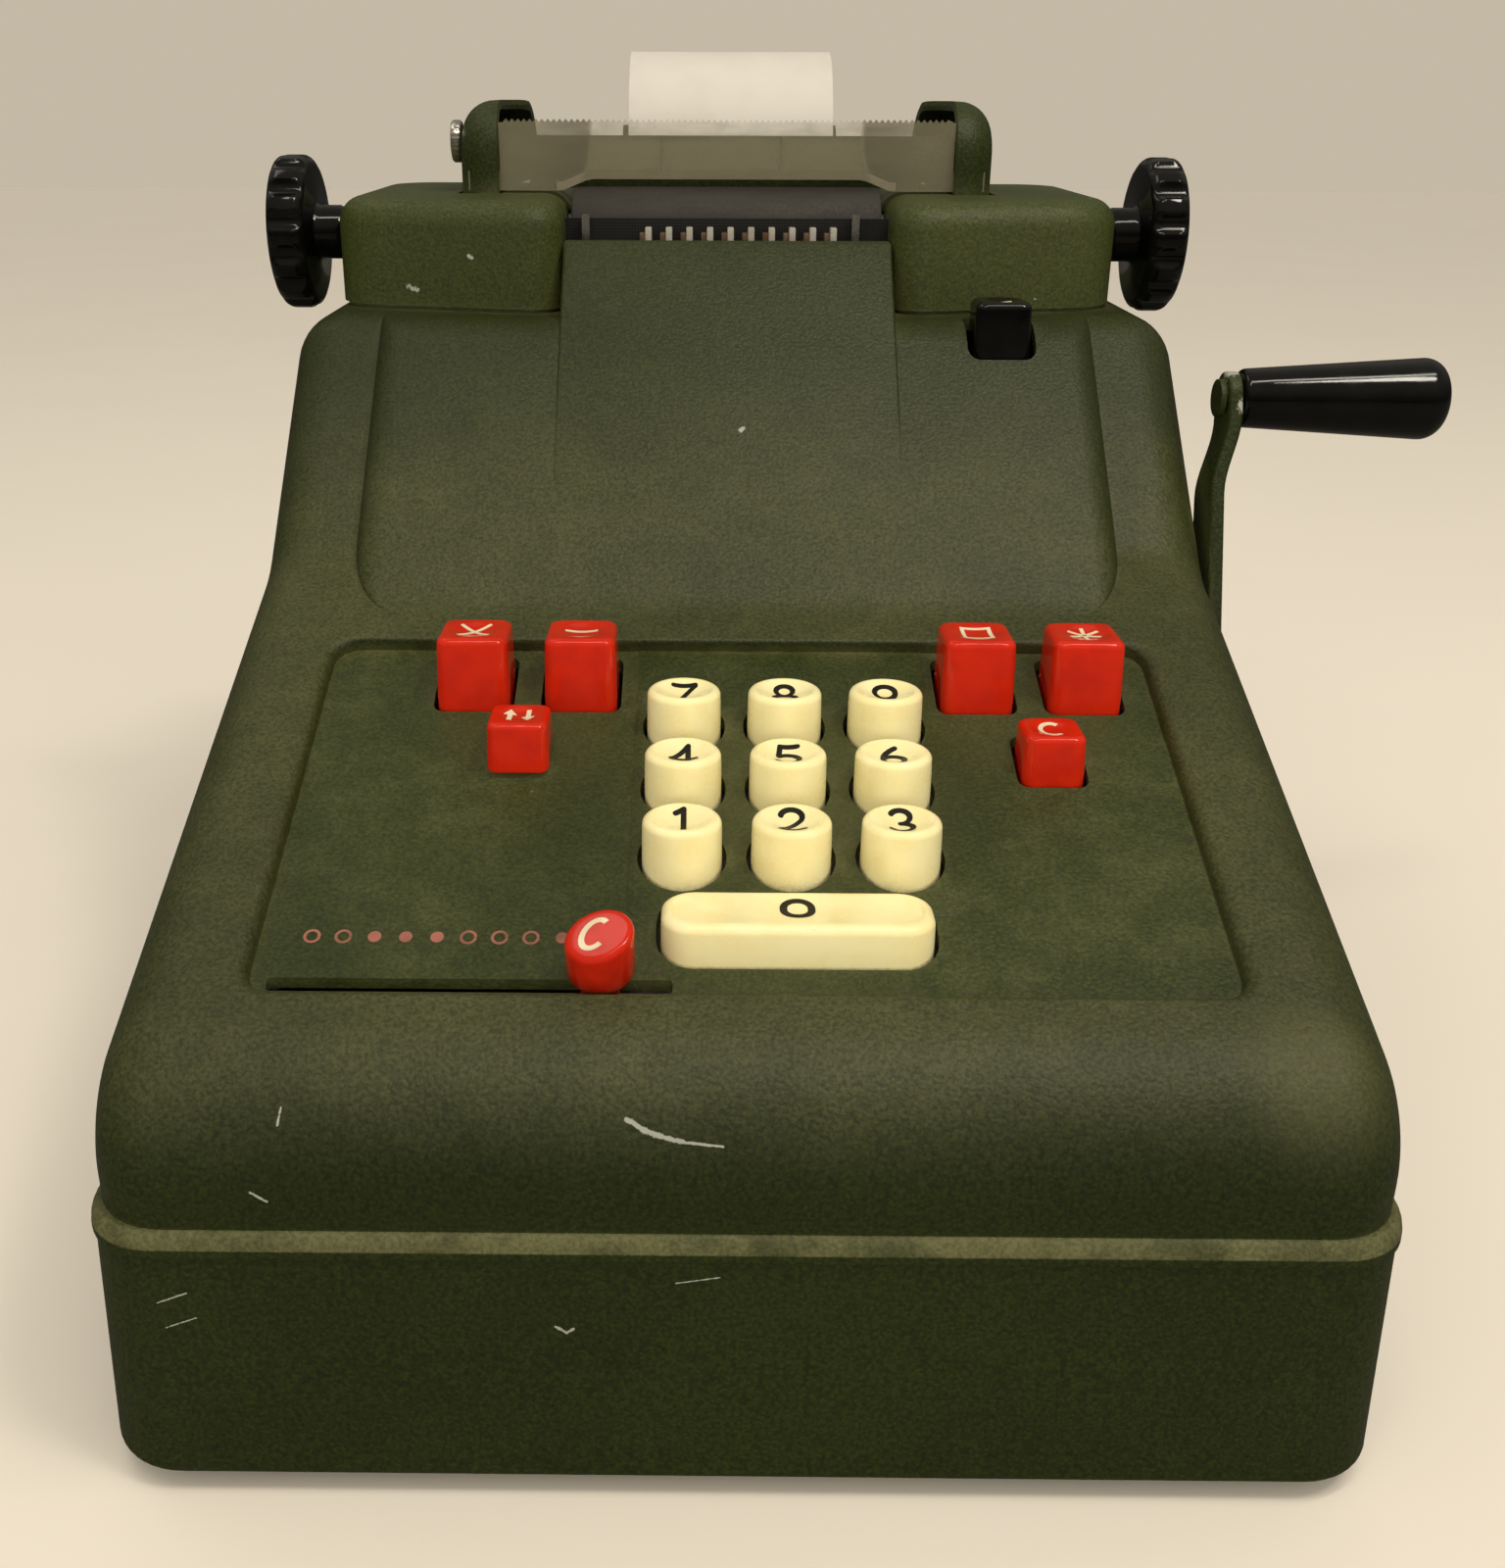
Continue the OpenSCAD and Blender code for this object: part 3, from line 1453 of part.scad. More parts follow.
base_pan();
rubber_feet();
case_screws();
housing();
keyboard_plate();
key_guide_plate();
plate_posts();
left_side_frame();
right_side_frame();
tie_rods();
left_carriage_cover();
right_carriage_cover();
left_cheek();
right_cheek();
cheek_thumb_screw();
tear_window();
paper_table();
platen_roller();
platen_shaft();
left_platen_knob();
right_platen_knob();
platen_bearings();
paper_roll();
paper_spindle();
paper_arms();
ribbon_guides();
left_ribbon_spool();
right_ribbon_spool();
ribbon();
type_bars();
type_guide();
crank_arm();
grip_pin();
crank_grip();
main_shaft();
shaft_bushes();
drive_lever();
return_spring();
register_wheels();
key_0();
key_1();
key_2();
key_3();
key_4();
key_5();
key_6();
key_7();
key_8();
key_9();
repeat_key();
minus_key();
subtotal_key();
total_key();
clear_key();
release_key();
two_way_lever();
column_slider();
slider_rail();
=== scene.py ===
import math

import bmesh
import bpy
from mathutils import Matrix, Vector

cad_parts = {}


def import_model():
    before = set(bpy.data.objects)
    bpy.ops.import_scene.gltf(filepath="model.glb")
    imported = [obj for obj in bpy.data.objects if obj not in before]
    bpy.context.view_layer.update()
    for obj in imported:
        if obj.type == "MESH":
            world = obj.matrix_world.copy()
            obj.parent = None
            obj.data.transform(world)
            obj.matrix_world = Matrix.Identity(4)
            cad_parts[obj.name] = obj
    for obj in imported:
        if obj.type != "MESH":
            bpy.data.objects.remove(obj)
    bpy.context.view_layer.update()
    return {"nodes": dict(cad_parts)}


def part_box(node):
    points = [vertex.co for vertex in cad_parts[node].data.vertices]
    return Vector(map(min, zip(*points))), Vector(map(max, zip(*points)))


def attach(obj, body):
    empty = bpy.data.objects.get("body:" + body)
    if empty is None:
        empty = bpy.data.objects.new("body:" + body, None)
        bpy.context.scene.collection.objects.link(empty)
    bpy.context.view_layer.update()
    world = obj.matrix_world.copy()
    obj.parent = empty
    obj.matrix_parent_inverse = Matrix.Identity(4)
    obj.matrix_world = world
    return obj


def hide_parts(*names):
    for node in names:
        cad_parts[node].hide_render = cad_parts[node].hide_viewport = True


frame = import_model()

MM = 0.001
scene = bpy.context.scene

# Sizes in millimetres, the same values as the solids, in the machine's own frame with +y to the back
FRONT = -165.0
BASE_W, BASE_D, BASE_H, BASE_R = 232.0, 330.0, 57.0, 14.0
FOOT_H, BASE_WALL = 4.0, 3.0
LEDGE, WALL = 1.8, 3.0
HW, HF, HR = BASE_W / 2 - LEDGE, FRONT + LEDGE, -FRONT - LEDGE
NOSE_H, NOSE_R, SIDE_R = 81.5, 27.0, 14.0
SLOPE, STEEP = math.radians(19.2), math.radians(42.0)
WAIST_Y, BONNET_Y, WAIST_R, SHOULDER_R, DECK_H, REAR_R = 156.0, 135.0, 20.0, 17.0, 183.5, 20.0
BONNET_EDGE, BONNET_ROUND, BONNET_CORNER = 90.5, 8.5, 9.0
BAND_W, BAND_TOP, BAND_LOW, BAND_PROUD = 84.0, 201.0, 140.0, 1.0
OPEN_FRONT, OPEN_LEN, OPEN_HALF_W, OPEN_R = 26.3, 102.0, 89.5, 6.0
PLATE_N, PLATE_T, PLATE_LAP, GUIDE_DEPTH = -3.05, 2.0, 4.0, 20.0
KEYS_X, PITCH_X, PITCH_S, ZERO_S, ROW_S = 9.496, 21.203, 19.7, 43.5, 62.7
DIGIT_D, DIGIT_RISE, DISH = 15.6, 8.9, 2.0
ZERO_X, ZERO_W, ZERO_R, ZERO_RISE = KEYS_X + 0.4, 50.603, 6.0, 4.9
FUNC_W, FUNC_D, FUNC_RISE, FUNC_S = 15.6, 16.2, 12.6, 116.4
FUNC_MID, FUNC_IN, FUNC_STEP = 8.646, 42.647, 23.1
SMALL_W, SMALL_D, SMALL_RISE, SMALL_S = 12.8, 13.4, 7.6, 91.8
KEY_TAPER, KEY_ROOM, SKIRT, STEM_D = 0.96, 0.9, 6.5, 4.0
RELEASE_W, RELEASE_X, RELEASE_Y, RELEASE_TOP = 14.2, 66.0, FRONT + 196.5, 189.0
CARRIAGE_X, COVER_HALF_W, COVER_GAP, COVER_Y = -2.0, 103.2, 85.0, FRONT + 208.0
COVER_SWEEP, COVER_D, COVER_TOP, COVER_WALL, COVER_R, COVER_EDGE = 14.0, 98.0, 210.8, 2.4, 18.0, 7.0
PLATEN_Y, PLATEN_Z, PLATEN_D, PLATEN_SHAFT = FRONT + 247.0, 200.5, 24.0, 10.0
KNOB_D, KNOB_T, KNOB_FLUTES, KNOB_NECK, KNOB_IN = 40.0, 10.0, 14, 14.0, 111.9
CHEEK_HALF_W, CHEEK_RIM, CHEEK_RIM_BACK, CHEEK_T = 72.3, 11.0, 17.0, 2.4
CHEEK_Y, CHEEK_D, CHEEK_TOP = FRONT + 244.0, 58.0, 234.0
WINDOW_TOP, WINDOW_T, TOOTH = 229.5, 1.5, 1.6
ROLL_X, ROLL_Y, ROLL_Z, ROLL_D, ROLL_W = -0.5, FRONT + 301.0, 219.0, 56.0, 58.0
PIVOT_Y, PIVOT_Z, CRANK_LEN, CRANK_LEAN = FRONT + 160.0, 92.0, 79.0, math.radians(17.6)
ARM_X, ARM_T, ARM_JOGGLE, SHAFT_D, PIN_D = 115.7, 3.4, 4.0, 10.0, 6.0
GRIP_X, GRIP_LEN, GRIP_IN, GRIP_OUT = 123.6, 50.0, 14.0, 20.2

# Camera, at the place that the photograph was taken from

RIGHT = Vector((0.999947, 0.009957, 0.002788))
DOWN = Vector((0.006442, -0.388979, -0.921224))
AHEAD = Vector((-0.008088, 0.921193, -0.389023))
EYE = Vector((-8.867, -391.101, 237.413)) * MM
FOCAL_PX, MID_X_PX, MID_Y_PX = 1674.78, 697.77, 796.09
PHOTO_W, PHOTO_H = 1536, 1600

lens = bpy.data.cameras.new("camera")
lens.sensor_width = 36.0
lens.lens = FOCAL_PX * lens.sensor_width / PHOTO_H
lens.shift_x = (PHOTO_W / 2 - MID_X_PX) / PHOTO_H
lens.shift_y = (MID_Y_PX - PHOTO_H / 2) / PHOTO_H
lens.clip_start, lens.clip_end = 0.01, 60.0
camera = bpy.data.objects.new("camera", lens)
turn = Matrix((RIGHT, -DOWN, -AHEAD)).transposed()
camera.matrix_world = Matrix.Translation(EYE) @ turn.to_4x4()
scene.collection.objects.link(camera)
scene.camera = camera


# Materials

def rgb(r, g, b):
    return (r, g, b, 1.0)


class Nodes:
    """A node tree with short ways to add nodes and to feed their sockets."""

    def __init__(self, tree):
        self.tree = tree

    def feed(self, socket, value):
        if isinstance(value, bpy.types.NodeSocket):
            self.tree.links.new(value, socket)
        else:
            socket.default_value = value

    def node(self, kind, *ordered, **named):
        made = self.tree.nodes.new("ShaderNode" + kind)
        for socket, value in zip(made.inputs, ordered):
            self.feed(socket, value)
        for name, value in named.items():
            self.feed(made.inputs[name.replace("_", " ")], value)
        return made

    def span(self, value, low, high, a=0.0, b=1.0):
        """Takes low to high smoothly to a to b, and stays level past them."""
        made = self.node("MapRange", value, low, high, a, b)
        made.interpolation_type = "SMOOTHSTEP"
        return made.outputs[0]

    def math(self, kind, a, b=0.0):
        made = self.node("Math", a, b)
        made.operation = kind
        return made.outputs[0]

    def times(self, first, *others):
        for other in others:
            first = self.math("MULTIPLY", first, other)
        return first

    def plus(self, a, b):
        return self.math("ADD", a, b)

    def less(self, a, b):
        return self.math("SUBTRACT", a, b)

    def most(self, a, b):
        return self.math("MAXIMUM", a, b)

    def least(self, a, b):
        return self.math("MINIMUM", a, b)


class Shader(Nodes):
    """A Principled material, with place as the point on the object."""

    def __init__(self, name, **sockets):
        self.mat = bpy.data.materials.new(name)
        self.mat.use_nodes = True
        super().__init__(self.mat.node_tree)
        self.bsdf = self.tree.nodes["Principled BSDF"]
        self.place = self.node("TexCoord").outputs["Object"]
        self.set(**sockets)

    def set(self, **sockets):
        for name, value in sockets.items():
            self.feed(self.bsdf.inputs[name.replace("_", " ")], value)

    def axis(self, name, source=None):
        return self.node("SeparateXYZ", source or self.place).outputs[name]

    def noise(self, scale, detail=3.0, rough=0.55, place=None):
        made = self.node("TexNoise", Vector=place or self.place, Scale=scale, Detail=detail, Roughness=rough)
        return made.outputs[0]

    def cells(self, scale):
        return self.node("TexVoronoi", Vector=self.place, Scale=scale).outputs

    def stretched(self, x, y, z):
        return self.node("Mapping", Vector=self.place, Scale=(x, y, z)).outputs[0]

    def vector(self, kind, a, *others, **named):
        made = self.node("VectorMath")
        made.operation = kind
        for socket, value in zip(made.inputs, (a, *others)):
            self.feed(socket, value)
        for name, value in named.items():
            self.feed(made.inputs[name], value)
        return made.outputs["Value" if kind in ("DOT_PRODUCT", "LENGTH", "DISTANCE") else "Vector"]

    def mix(self, share, a, b):
        made = self.node("Mix")
        made.data_type = "RGBA"
        for index, value in ((0, share), (6, a), (7, b)):
            self.feed(made.inputs[index], value)
        return made.outputs[2]

    def upward(self):
        return self.axis("Z", self.node("NewGeometry").outputs["Normal"])

    def crease(self, distance):
        made = self.node("AmbientOcclusion", Distance=distance)
        made.samples = 6
        made.only_local = False
        return self.less(1.0, made.outputs["AO"])

    def bump(self, height, strength, distance, **under):
        made = self.node("Bump", Height=height, Strength=strength, Distance=distance, **under)
        return made.outputs["Normal"]

    def scratch(self, start, end, width):
        """Share of a scratch between two points, in millimetres, that a noise breaks up."""
        a, b = Vector(start) * MM, Vector(end) * MM
        run = b - a
        off = self.vector("SUBTRACT", self.place, a)
        along = self.vector("DOT_PRODUCT", off, run / run.length_squared)
        foot = self.vector("SCALE", run, Scale=self.least(self.most(along, 0.0), 1.0))
        away = self.vector("LENGTH", self.vector("SUBTRACT", off, foot))
        reach = self.times(self.noise(1100, 2.0), 2 * width * MM)
        return self.span(self.math("DIVIDE", away, reach), 0.55, 1.0, 1.0, 0.0)


PAINT_DARK, PAINT_LIGHT = (0.0205, 0.0310, 0.0032), (0.0420, 0.0580, 0.0068)
PAINT_PIT = (0.010, 0.014, 0.003)
# The dust colour also serves for painted sheen and painted light in round spots.
DUST_AND_SHEEN, CHIP = rgb(0.186, 0.179, 0.072), rgb(0.34, 0.35, 0.29)


def green_paint(name, dust, crease_dust, scratches=(), chips=0.75, patchy=0.3, strip=None, tone=1.0,
                dust_and_lit_spots=(), fade=None):
    """Dark olive wrinkle paint with small chips.

    Dust lies on what faces up, in corners, above the height strip and in round spots. Some round spots are not dust
    but painted sheen and painted light in the dust colour, and the tone that scales the paint's colours also paints
    some parts lighter as painted light. Fade thins it by height.
    """
    s = Shader(name, Specular_IOR_Level=0.30)
    dark, light, pit = (rgb(*(tone * c for c in paint)) for paint in (PAINT_DARK, PAINT_LIGHT, PAINT_PIT))
    broad, stain = s.noise(20, 4.0), s.noise(95, 5.0, 0.62)
    grain, fine = s.noise(1250, 5.0, 0.66), s.noise(2600, 2.0)
    wrinkle, speck, z = s.cells(1150)["Distance"], s.cells(95), s.axis("Z")

    def speckled(share, least):
        return s.times(share, s.span(grain, 0.36, 0.62, least, 1.0))

    cloud = s.plus(s.span(grain, 0.36, 0.66, 0.0, 0.75), s.span(broad, 0.35, 0.65, 0.0, 0.25))
    paint = s.mix(s.span(wrinkle, 0.40, 0.75, 0.0, 0.45), s.mix(cloud, dark, light), pit)
    lies = s.times(s.span(s.upward(), 0.10, 0.95), s.span(stain, 0.36, 0.72, 1.0 - patchy, 1.0),
                   s.span(broad, 0.36, 0.62, (1.0 - patchy) * dust, dust))
    lies = speckled(lies, 0.45)
    if fade is not None:
        lies = s.times(lies, s.span(z, *fade))
    nook = s.times(s.span(s.crease(0.007), 0.12, 0.62), s.span(stain, 0.38, 0.6, 0.2, crease_dust))
    dust_and_sheen = s.least(s.plus(lies, nook), 0.9)
    if strip is not None:
        held = s.times(s.span(z, strip - 0.0004, strip), s.span(stain, 0.34, 0.62, 0.32, 0.70))
        dust_and_sheen = s.most(dust_and_sheen, speckled(held, 0.62))
    # Round spots mix in the dust colour: some are dust, and some are painted sheen and painted light.
    for centre, radius, share in dust_and_lit_spots:
        off = s.vector("DISTANCE", s.place, Vector(centre) * MM)
        near = s.span(off, 0.15 * radius * MM, radius * MM, share, 0.0)
        dust_and_sheen = s.most(dust_and_sheen, speckled(near, 0.72))
    rare = s.span(s.axis("X", speck["Color"]), chips + 0.17, chips + 0.18)
    worn = s.times(rare, s.span(speck["Distance"], 0.035, 0.075, 1.0, 0.0), s.span(fine, 0.4, 0.6))
    for a, b, width in scratches:
        worn = s.most(worn, s.scratch(a, b, width))
    s.set(Base_Color=s.mix(worn, s.mix(dust_and_sheen, paint, DUST_AND_SHEEN), CHIP))
    s.set(Roughness=s.plus(s.span(grain, 0.3, 0.7, 0.46, 0.36), s.times(dust_and_sheen, 0.30)))
    soft = s.bump(s.plus(s.times(grain, 0.7), s.times(wrinkle, -0.5)), 0.5, 0.0004)
    s.set(Normal=s.bump(fine, 0.12, 0.00015, Normal=soft))
    return s.mat


def gloss_plastic(name, base, deep, roughness=0.16, grime_and_shade=None, grime_and_shade_share=0.0, gloss=0.42):
    """Polished moulded plastic: slight clouding, grime in dots, and a grime tint in the corners that ambient occlusion
    finds, which is painted shade where it is darker than the plastic.
    """
    s = Shader(name, Specular_IOR_Level=gloss)
    cloud, speck = s.noise(160, 3.0), s.noise(1500, 3.0, 0.6)
    tint = s.mix(s.span(cloud, 0.35, 0.7), base, deep)
    if grime_and_shade is not None:
        # Corners found by ambient occlusion take the grime colour: painted shade on the cream and red plastics,
        # lighter grime on the black.
        nook = s.times(s.span(s.crease(0.006), 0.35, 0.95), s.span(speck, 0.35, 0.6, 0.2, 1.0))
        dots = s.span(s.noise(900, 2.0), 0.72, 0.80, 0.0, 0.35)
        tint = s.mix(s.times(s.most(nook, dots), grime_and_shade_share), tint, grime_and_shade)
    s.set(Base_Color=tint)
    s.set(Roughness=s.span(cloud, 0.3, 0.75, roughness * 0.8, roughness * 1.5))
    s.set(Normal=s.bump(s.noise(420, 2.0), 0.05, 0.0002))
    return s.mat


def metal(name, base, dark, roughness, grain=(1.0, 1.0, 1.0), tarnish=0.4, metallic=1.0):
    """Machined or plated metal: drawn grain, tarnish in patches and in corners."""
    s = Shader(name, Metallic=metallic)
    drawn = s.noise(700, 4.0, 0.6, s.stretched(*grain))
    stain = s.times(s.span(s.noise(140, 4.0), 0.45, 0.7), tarnish)
    stain = s.least(s.plus(stain, s.span(s.crease(0.004), 0.3, 0.9, 0.0, tarnish)), 0.95)
    s.set(Base_Color=s.mix(stain, base, dark))
    polish = s.span(drawn, 0.3, 0.7, roughness * 0.8, roughness * 1.3)
    s.set(Roughness=s.plus(polish, s.times(stain, 0.25)))
    s.set(Normal=s.bump(drawn, 0.12, 0.0002))
    return s.mat


def rubber(name, base, worn, roughness):
    s = Shader(name, Specular_IOR_Level=0.35)
    grain, band = s.noise(1300, 3.0), s.noise(90, 4.0, 0.6, s.stretched(0.25, 1.0, 1.0))
    s.set(Base_Color=s.mix(s.span(band, 0.4, 0.7, 0.1, 0.9), base, worn))
    s.set(Roughness=s.span(grain, 0.3, 0.7, roughness * 0.9, roughness * 1.15))
    s.set(Normal=s.bump(grain, 0.18, 0.0002))
    return s.mat


def paper_stock(name):
    s = Shader(name, Roughness=0.85, Specular_IOR_Level=0.2)
    fibre, tone = s.noise(1400, 4.0, 0.65), s.noise(40, 3.0)
    s.set(Base_Color=s.mix(s.span(tone, 0.35, 0.7), rgb(0.615, 0.580, 0.525), rgb(0.570, 0.525, 0.470)))
    s.set(Normal=s.bump(fibre, 0.15, 0.0001))
    return s.mat


def film(name, tint, cloud_and_shade_tint, clear, clouded):
    """Clouded clear sheet: darker and denser past a bowed border at each end, as painted shade of what lies behind it,
    clouded and rubbed in patches, clearer at its top.
    """
    s = Shader(name, Specular_IOR_Level=0.5, Roughness=0.22)
    haze_low, bow_top, bow_tall, bow_deep = 0.2225, 0.227, 0.014, 0.0032
    cloud, rub = s.noise(60, 4.0, 0.6), s.noise(500, 3.0, 0.6, s.stretched(0.2, 1.0, 1.0))
    z = s.axis("Z")
    drop = s.times(s.less(bow_top, z), 1 / bow_tall)
    off = s.math("ABSOLUTE", s.less(s.axis("X"), CARRIAGE_X * MM))
    off = s.less(off, s.times(drop, drop, bow_deep))
    # Past the bowed border at each end the sheet is painted darker and denser: painted shade of the parts behind it.
    ends = s.times(s.span(off, 0.0352, 0.0375), s.span(off, 0.036, 0.062, 0.85, 0.55))
    cloud_and_shade = s.most(ends, s.span(cloud, 0.45, 0.75, 0.0, 0.35))
    cloud_and_shade = s.plus(s.times(cloud_and_shade, 0.85), s.span(rub, 0.35, 0.7, 0.0, 0.15))
    s.set(Base_Color=s.mix(cloud_and_shade, tint, cloud_and_shade_tint))
    haze = s.span(z, haze_low, bow_top, clear, 0.4 * clear)
    s.set(Alpha=s.plus(s.times(cloud_and_shade, clouded), s.times(s.less(1.0, cloud_and_shade), haze)))
    return s.mat


def cloth(name, base, light):
    s = Shader(name, Roughness=0.8, Specular_IOR_Level=0.2)
    weave = s.node("TexWave", Vector=s.place, Scale=420.0, Distortion=0.4)
    cross = s.node("TexWave", Vector=s.stretched(0.0, 0.0, 1.0), Scale=420.0, Distortion=0.4)
    cross.bands_direction = "Z"
    thread = s.times(weave.outputs[1], cross.outputs[1])
    s.set(Base_Color=s.mix(thread, base, light))
    s.set(Normal=s.bump(thread, 0.4, 0.0001))
    return s.mat


NOSE_SCRATCH = ((-20.3, -158.7, 77.2), (-17.8, -159.5, 75.8), (-14.5, -160.1, 74.7), (-10.3, -160.5, 73.9),
                (-4.1, -160.8, 73.3))
# The round spot on the right of the nose is a painted highlight: a sheen painted in the dust colour.
body_green = green_paint("green_paint", 0.35, 0.40, (
    *zip(NOSE_SCRATCH, NOSE_SCRATCH[1:], (0.55, 0.62, 0.45, 0.32)),
    ((-79.3, -159.5, 76.0), (-78.8, -157.8, 78.4), 0.26),
    ((-84.1, -163.0, 64.8), (-81.4, -163.1, 63.1), 0.30),
    ((1.2, 6.6, 161.2), (1.7, 6.9, 161.6), 0.7),
), dust_and_lit_spots=(((97.0, -151.0, 84.5), 23.0, 0.34),), tone=0.64, fade=(0.146, 0.178, 1.0, 0.25))
pan_green = green_paint("green_paint_pan", 0.50, 0.30, (
    ((-32.9, -164.9, 38.3), (-31.0, -165.0, 37.1), 0.34),
    ((-31.0, -165.0, 37.1), (-29.8, -164.9, 37.9), 0.30),
    ((-102.1, -164.8, 42.6), (-96.8, -164.7, 44.7), 0.20),
    ((-101.0, -165.0, 37.4), (-95.6, -164.9, 39.5), 0.18),
    ((-11.9, -164.6, 47.7), (-4.3, -164.6, 49.0), 0.16),
), strip=0.0541, tone=0.68)
plate_green = green_paint("green_paint_plate", 0.26, 0.45, patchy=0.75, tone=0.9, dust_and_lit_spots=(
    ((9.5, -84.4, 105.7), 48.0, 0.26),
    ((-45.0, -63.0, 113.1), 36.0, 0.17),
    ((63.0, -63.0, 113.1), 36.0, 0.17),
))
# The covers' tone of 1.1 and their two broad round spots, the right one stronger, paint them lighter than the body:
# painted light on their front faces.
cover_green = green_paint("green_paint_cover", 0.24, 0.30, (
    ((-87.9, 53.8, 198.3), (-87.0, 53.5, 194.7), 0.6),
    ((-84.9, 52.7, 189.4), (-82.4, 52.1, 188.4), 0.8),
    ((-68.2, 48.7, 197.3), (-67.6, 48.5, 196.9), 0.7),
    ((78.0, 52.0, 186.9), (83.4, 53.6, 186.5), 0.45),
), 0.72, tone=1.1, dust_and_lit_spots=(((-75.0, 52.0, 195.0), 70.0, 0.09), ((75.0, 52.0, 195.0), 70.0, 0.16)))
cheek_green = green_paint("green_paint_cheek", 0.06, 0.30, tone=0.75)
arm_green = green_paint("green_paint_arm", 0.15, 0.30, (
    ((119.6, 18.0, 174.4), (123.3, 18.6, 174.2), 2.6),
    ((122.6, 12.5, 165.0), (123.2, 11.0, 171.0), 1.2),
), 0.70, tone=0.7)
steel = metal("steel", rgb(0.45, 0.45, 0.44), rgb(0.16, 0.13, 0.10), 0.38, (0.15, 1.0, 1.0))
nickel = metal("nickel", rgb(0.66, 0.63, 0.56), rgb(0.28, 0.24, 0.17), 0.22)
brass = metal("brass", rgb(0.62, 0.44, 0.18), rgb(0.25, 0.16, 0.07), 0.30)
type_brass = metal("type_metal", rgb(0.55, 0.38, 0.24), rgb(0.20, 0.09, 0.05), 0.34, (1.0, 1.0, 0.2), 0.6)
type_steel = metal("type_steel", rgb(0.52, 0.49, 0.42), rgb(0.30, 0.20, 0.13), 0.30,
                   tarnish=0.35, metallic=0.35)
platen_rubber = rubber("platen_rubber", rgb(0.020, 0.018, 0.014), rgb(0.036, 0.032, 0.024), 0.60)
foot_rubber = rubber("foot_rubber", rgb(0.016, 0.016, 0.017), rgb(0.034, 0.033, 0.031), 0.75)
black = gloss_plastic("black_plastic", rgb(0.0012, 0.0011, 0.0010), rgb(0.0024, 0.0022, 0.0019), 0.09,
                      rgb(0.02, 0.018, 0.014), 0.25, 0.40)
cream = gloss_plastic("cream_plastic", rgb(0.97, 0.88, 0.48), rgb(0.94, 0.82, 0.40), 0.22,
                      rgb(0.16, 0.12, 0.06), 0.55)
red = gloss_plastic("red_plastic", rgb(0.60, 0.020, 0.0045), rgb(0.52, 0.015, 0.0035), 0.11,
                    rgb(0.07, 0.012, 0.006), 0.55, 0.36)
ink = gloss_plastic("black_ink", rgb(0.008, 0.007, 0.006), rgb(0.018, 0.015, 0.011), 0.45, gloss=0.2)
cream_ink = gloss_plastic("cream_ink", rgb(0.84, 0.74, 0.52), rgb(0.72, 0.60, 0.38), 0.40)
mark_red = gloss_plastic("mark_red", rgb(0.36, 0.12, 0.085), rgb(0.20, 0.080, 0.050), 0.55)
paper = paper_stock("paper")
clear_film = film("celluloid", rgb(0.36, 0.328, 0.205), rgb(0.100, 0.089, 0.052), 0.26, 0.76)
edge_film = film("celluloid_edge", rgb(0.173, 0.155, 0.097), rgb(0.216, 0.194, 0.130), 0.80, 0.95)
ribbon_cloth = cloth("ribbon_cloth", rgb(0.010, 0.0095, 0.0085), rgb(0.026, 0.025, 0.022))


# Mesh helpers, with points in millimetres in the machine's frame

def link(name, mesh):
    made = bpy.data.objects.new(name, mesh)
    scene.collection.objects.link(made)
    return made


def settle(mesh, sharp=34.0):
    """Welds, turns normals outwards and marks edges sharper than an angle."""
    bm = bmesh.new()
    bm.from_mesh(mesh)
    bmesh.ops.remove_doubles(bm, verts=bm.verts, dist=1e-6)
    bmesh.ops.recalc_face_normals(bm, faces=bm.faces)
    bm.to_mesh(mesh)
    bm.free()
    mesh.shade_smooth()
    mesh.set_sharp_from_angle(angle=math.radians(sharp))


def solid(name, points, faces, sharp=34.0):
    mesh = bpy.data.meshes.new(name)
    mesh.from_pydata([tuple(c * MM for c in p) for p in points], [], faces)
    settle(mesh, sharp)
    return link(name, mesh)


def loft(name, rings, sharp=34.0, loop=False):
    """Closed rings of equal count, skinned in order, and capped or joined end to end."""
    n, m = len(rings[0]), len(rings)
    points = [p for ring in rings for p in ring]
    faces = []
    for k in range(m if loop else m - 1):
        a, b = k * n, (k + 1) % m * n
        faces += [(a + i, a + (i + 1) % n, b + (i + 1) % n, b + i) for i in range(n)]
    if not loop:
        faces += [tuple(range(n))[::-1], tuple(range((m - 1) * n, m * n))]
    return solid(name, points, faces, sharp)


def grid(across, down):
    """Quads of a net with so many points across and down."""
    return [(j * across + i, j * across + i + 1, (j + 1) * across + i + 1, (j + 1) * across + i)
            for j in range(down - 1) for i in range(across - 1)]


def apply(obj, sharp=34.0):
    bpy.context.view_layer.update()
    mesh = bpy.data.meshes.new_from_object(obj.evaluated_get(bpy.context.evaluated_depsgraph_get()))
    old = obj.data
    obj.modifiers.clear()
    obj.data = mesh
    bpy.data.meshes.remove(old)
    settle(mesh, sharp)
    return obj


def cut(obj, *tools, sharp=34.0):
    for tool in tools:
        step = obj.modifiers.new("cut", "BOOLEAN")
        step.operation, step.solver, step.object = "DIFFERENCE", "EXACT", tool
    apply(obj, sharp)
    for tool in tools:
        mesh = tool.data
        bpy.data.objects.remove(tool)
        bpy.data.meshes.remove(mesh)
    return obj


def bevel(obj, width, segments=3, angle=30.0, sharp=40.0):
    step = obj.modifiers.new("bevel", "BEVEL")
    step.width, step.segments, step.limit_method = width * MM, segments, "ANGLE"
    step.angle_limit = math.radians(angle)
    step.use_clamp_overlap = True
    return apply(obj, sharp)


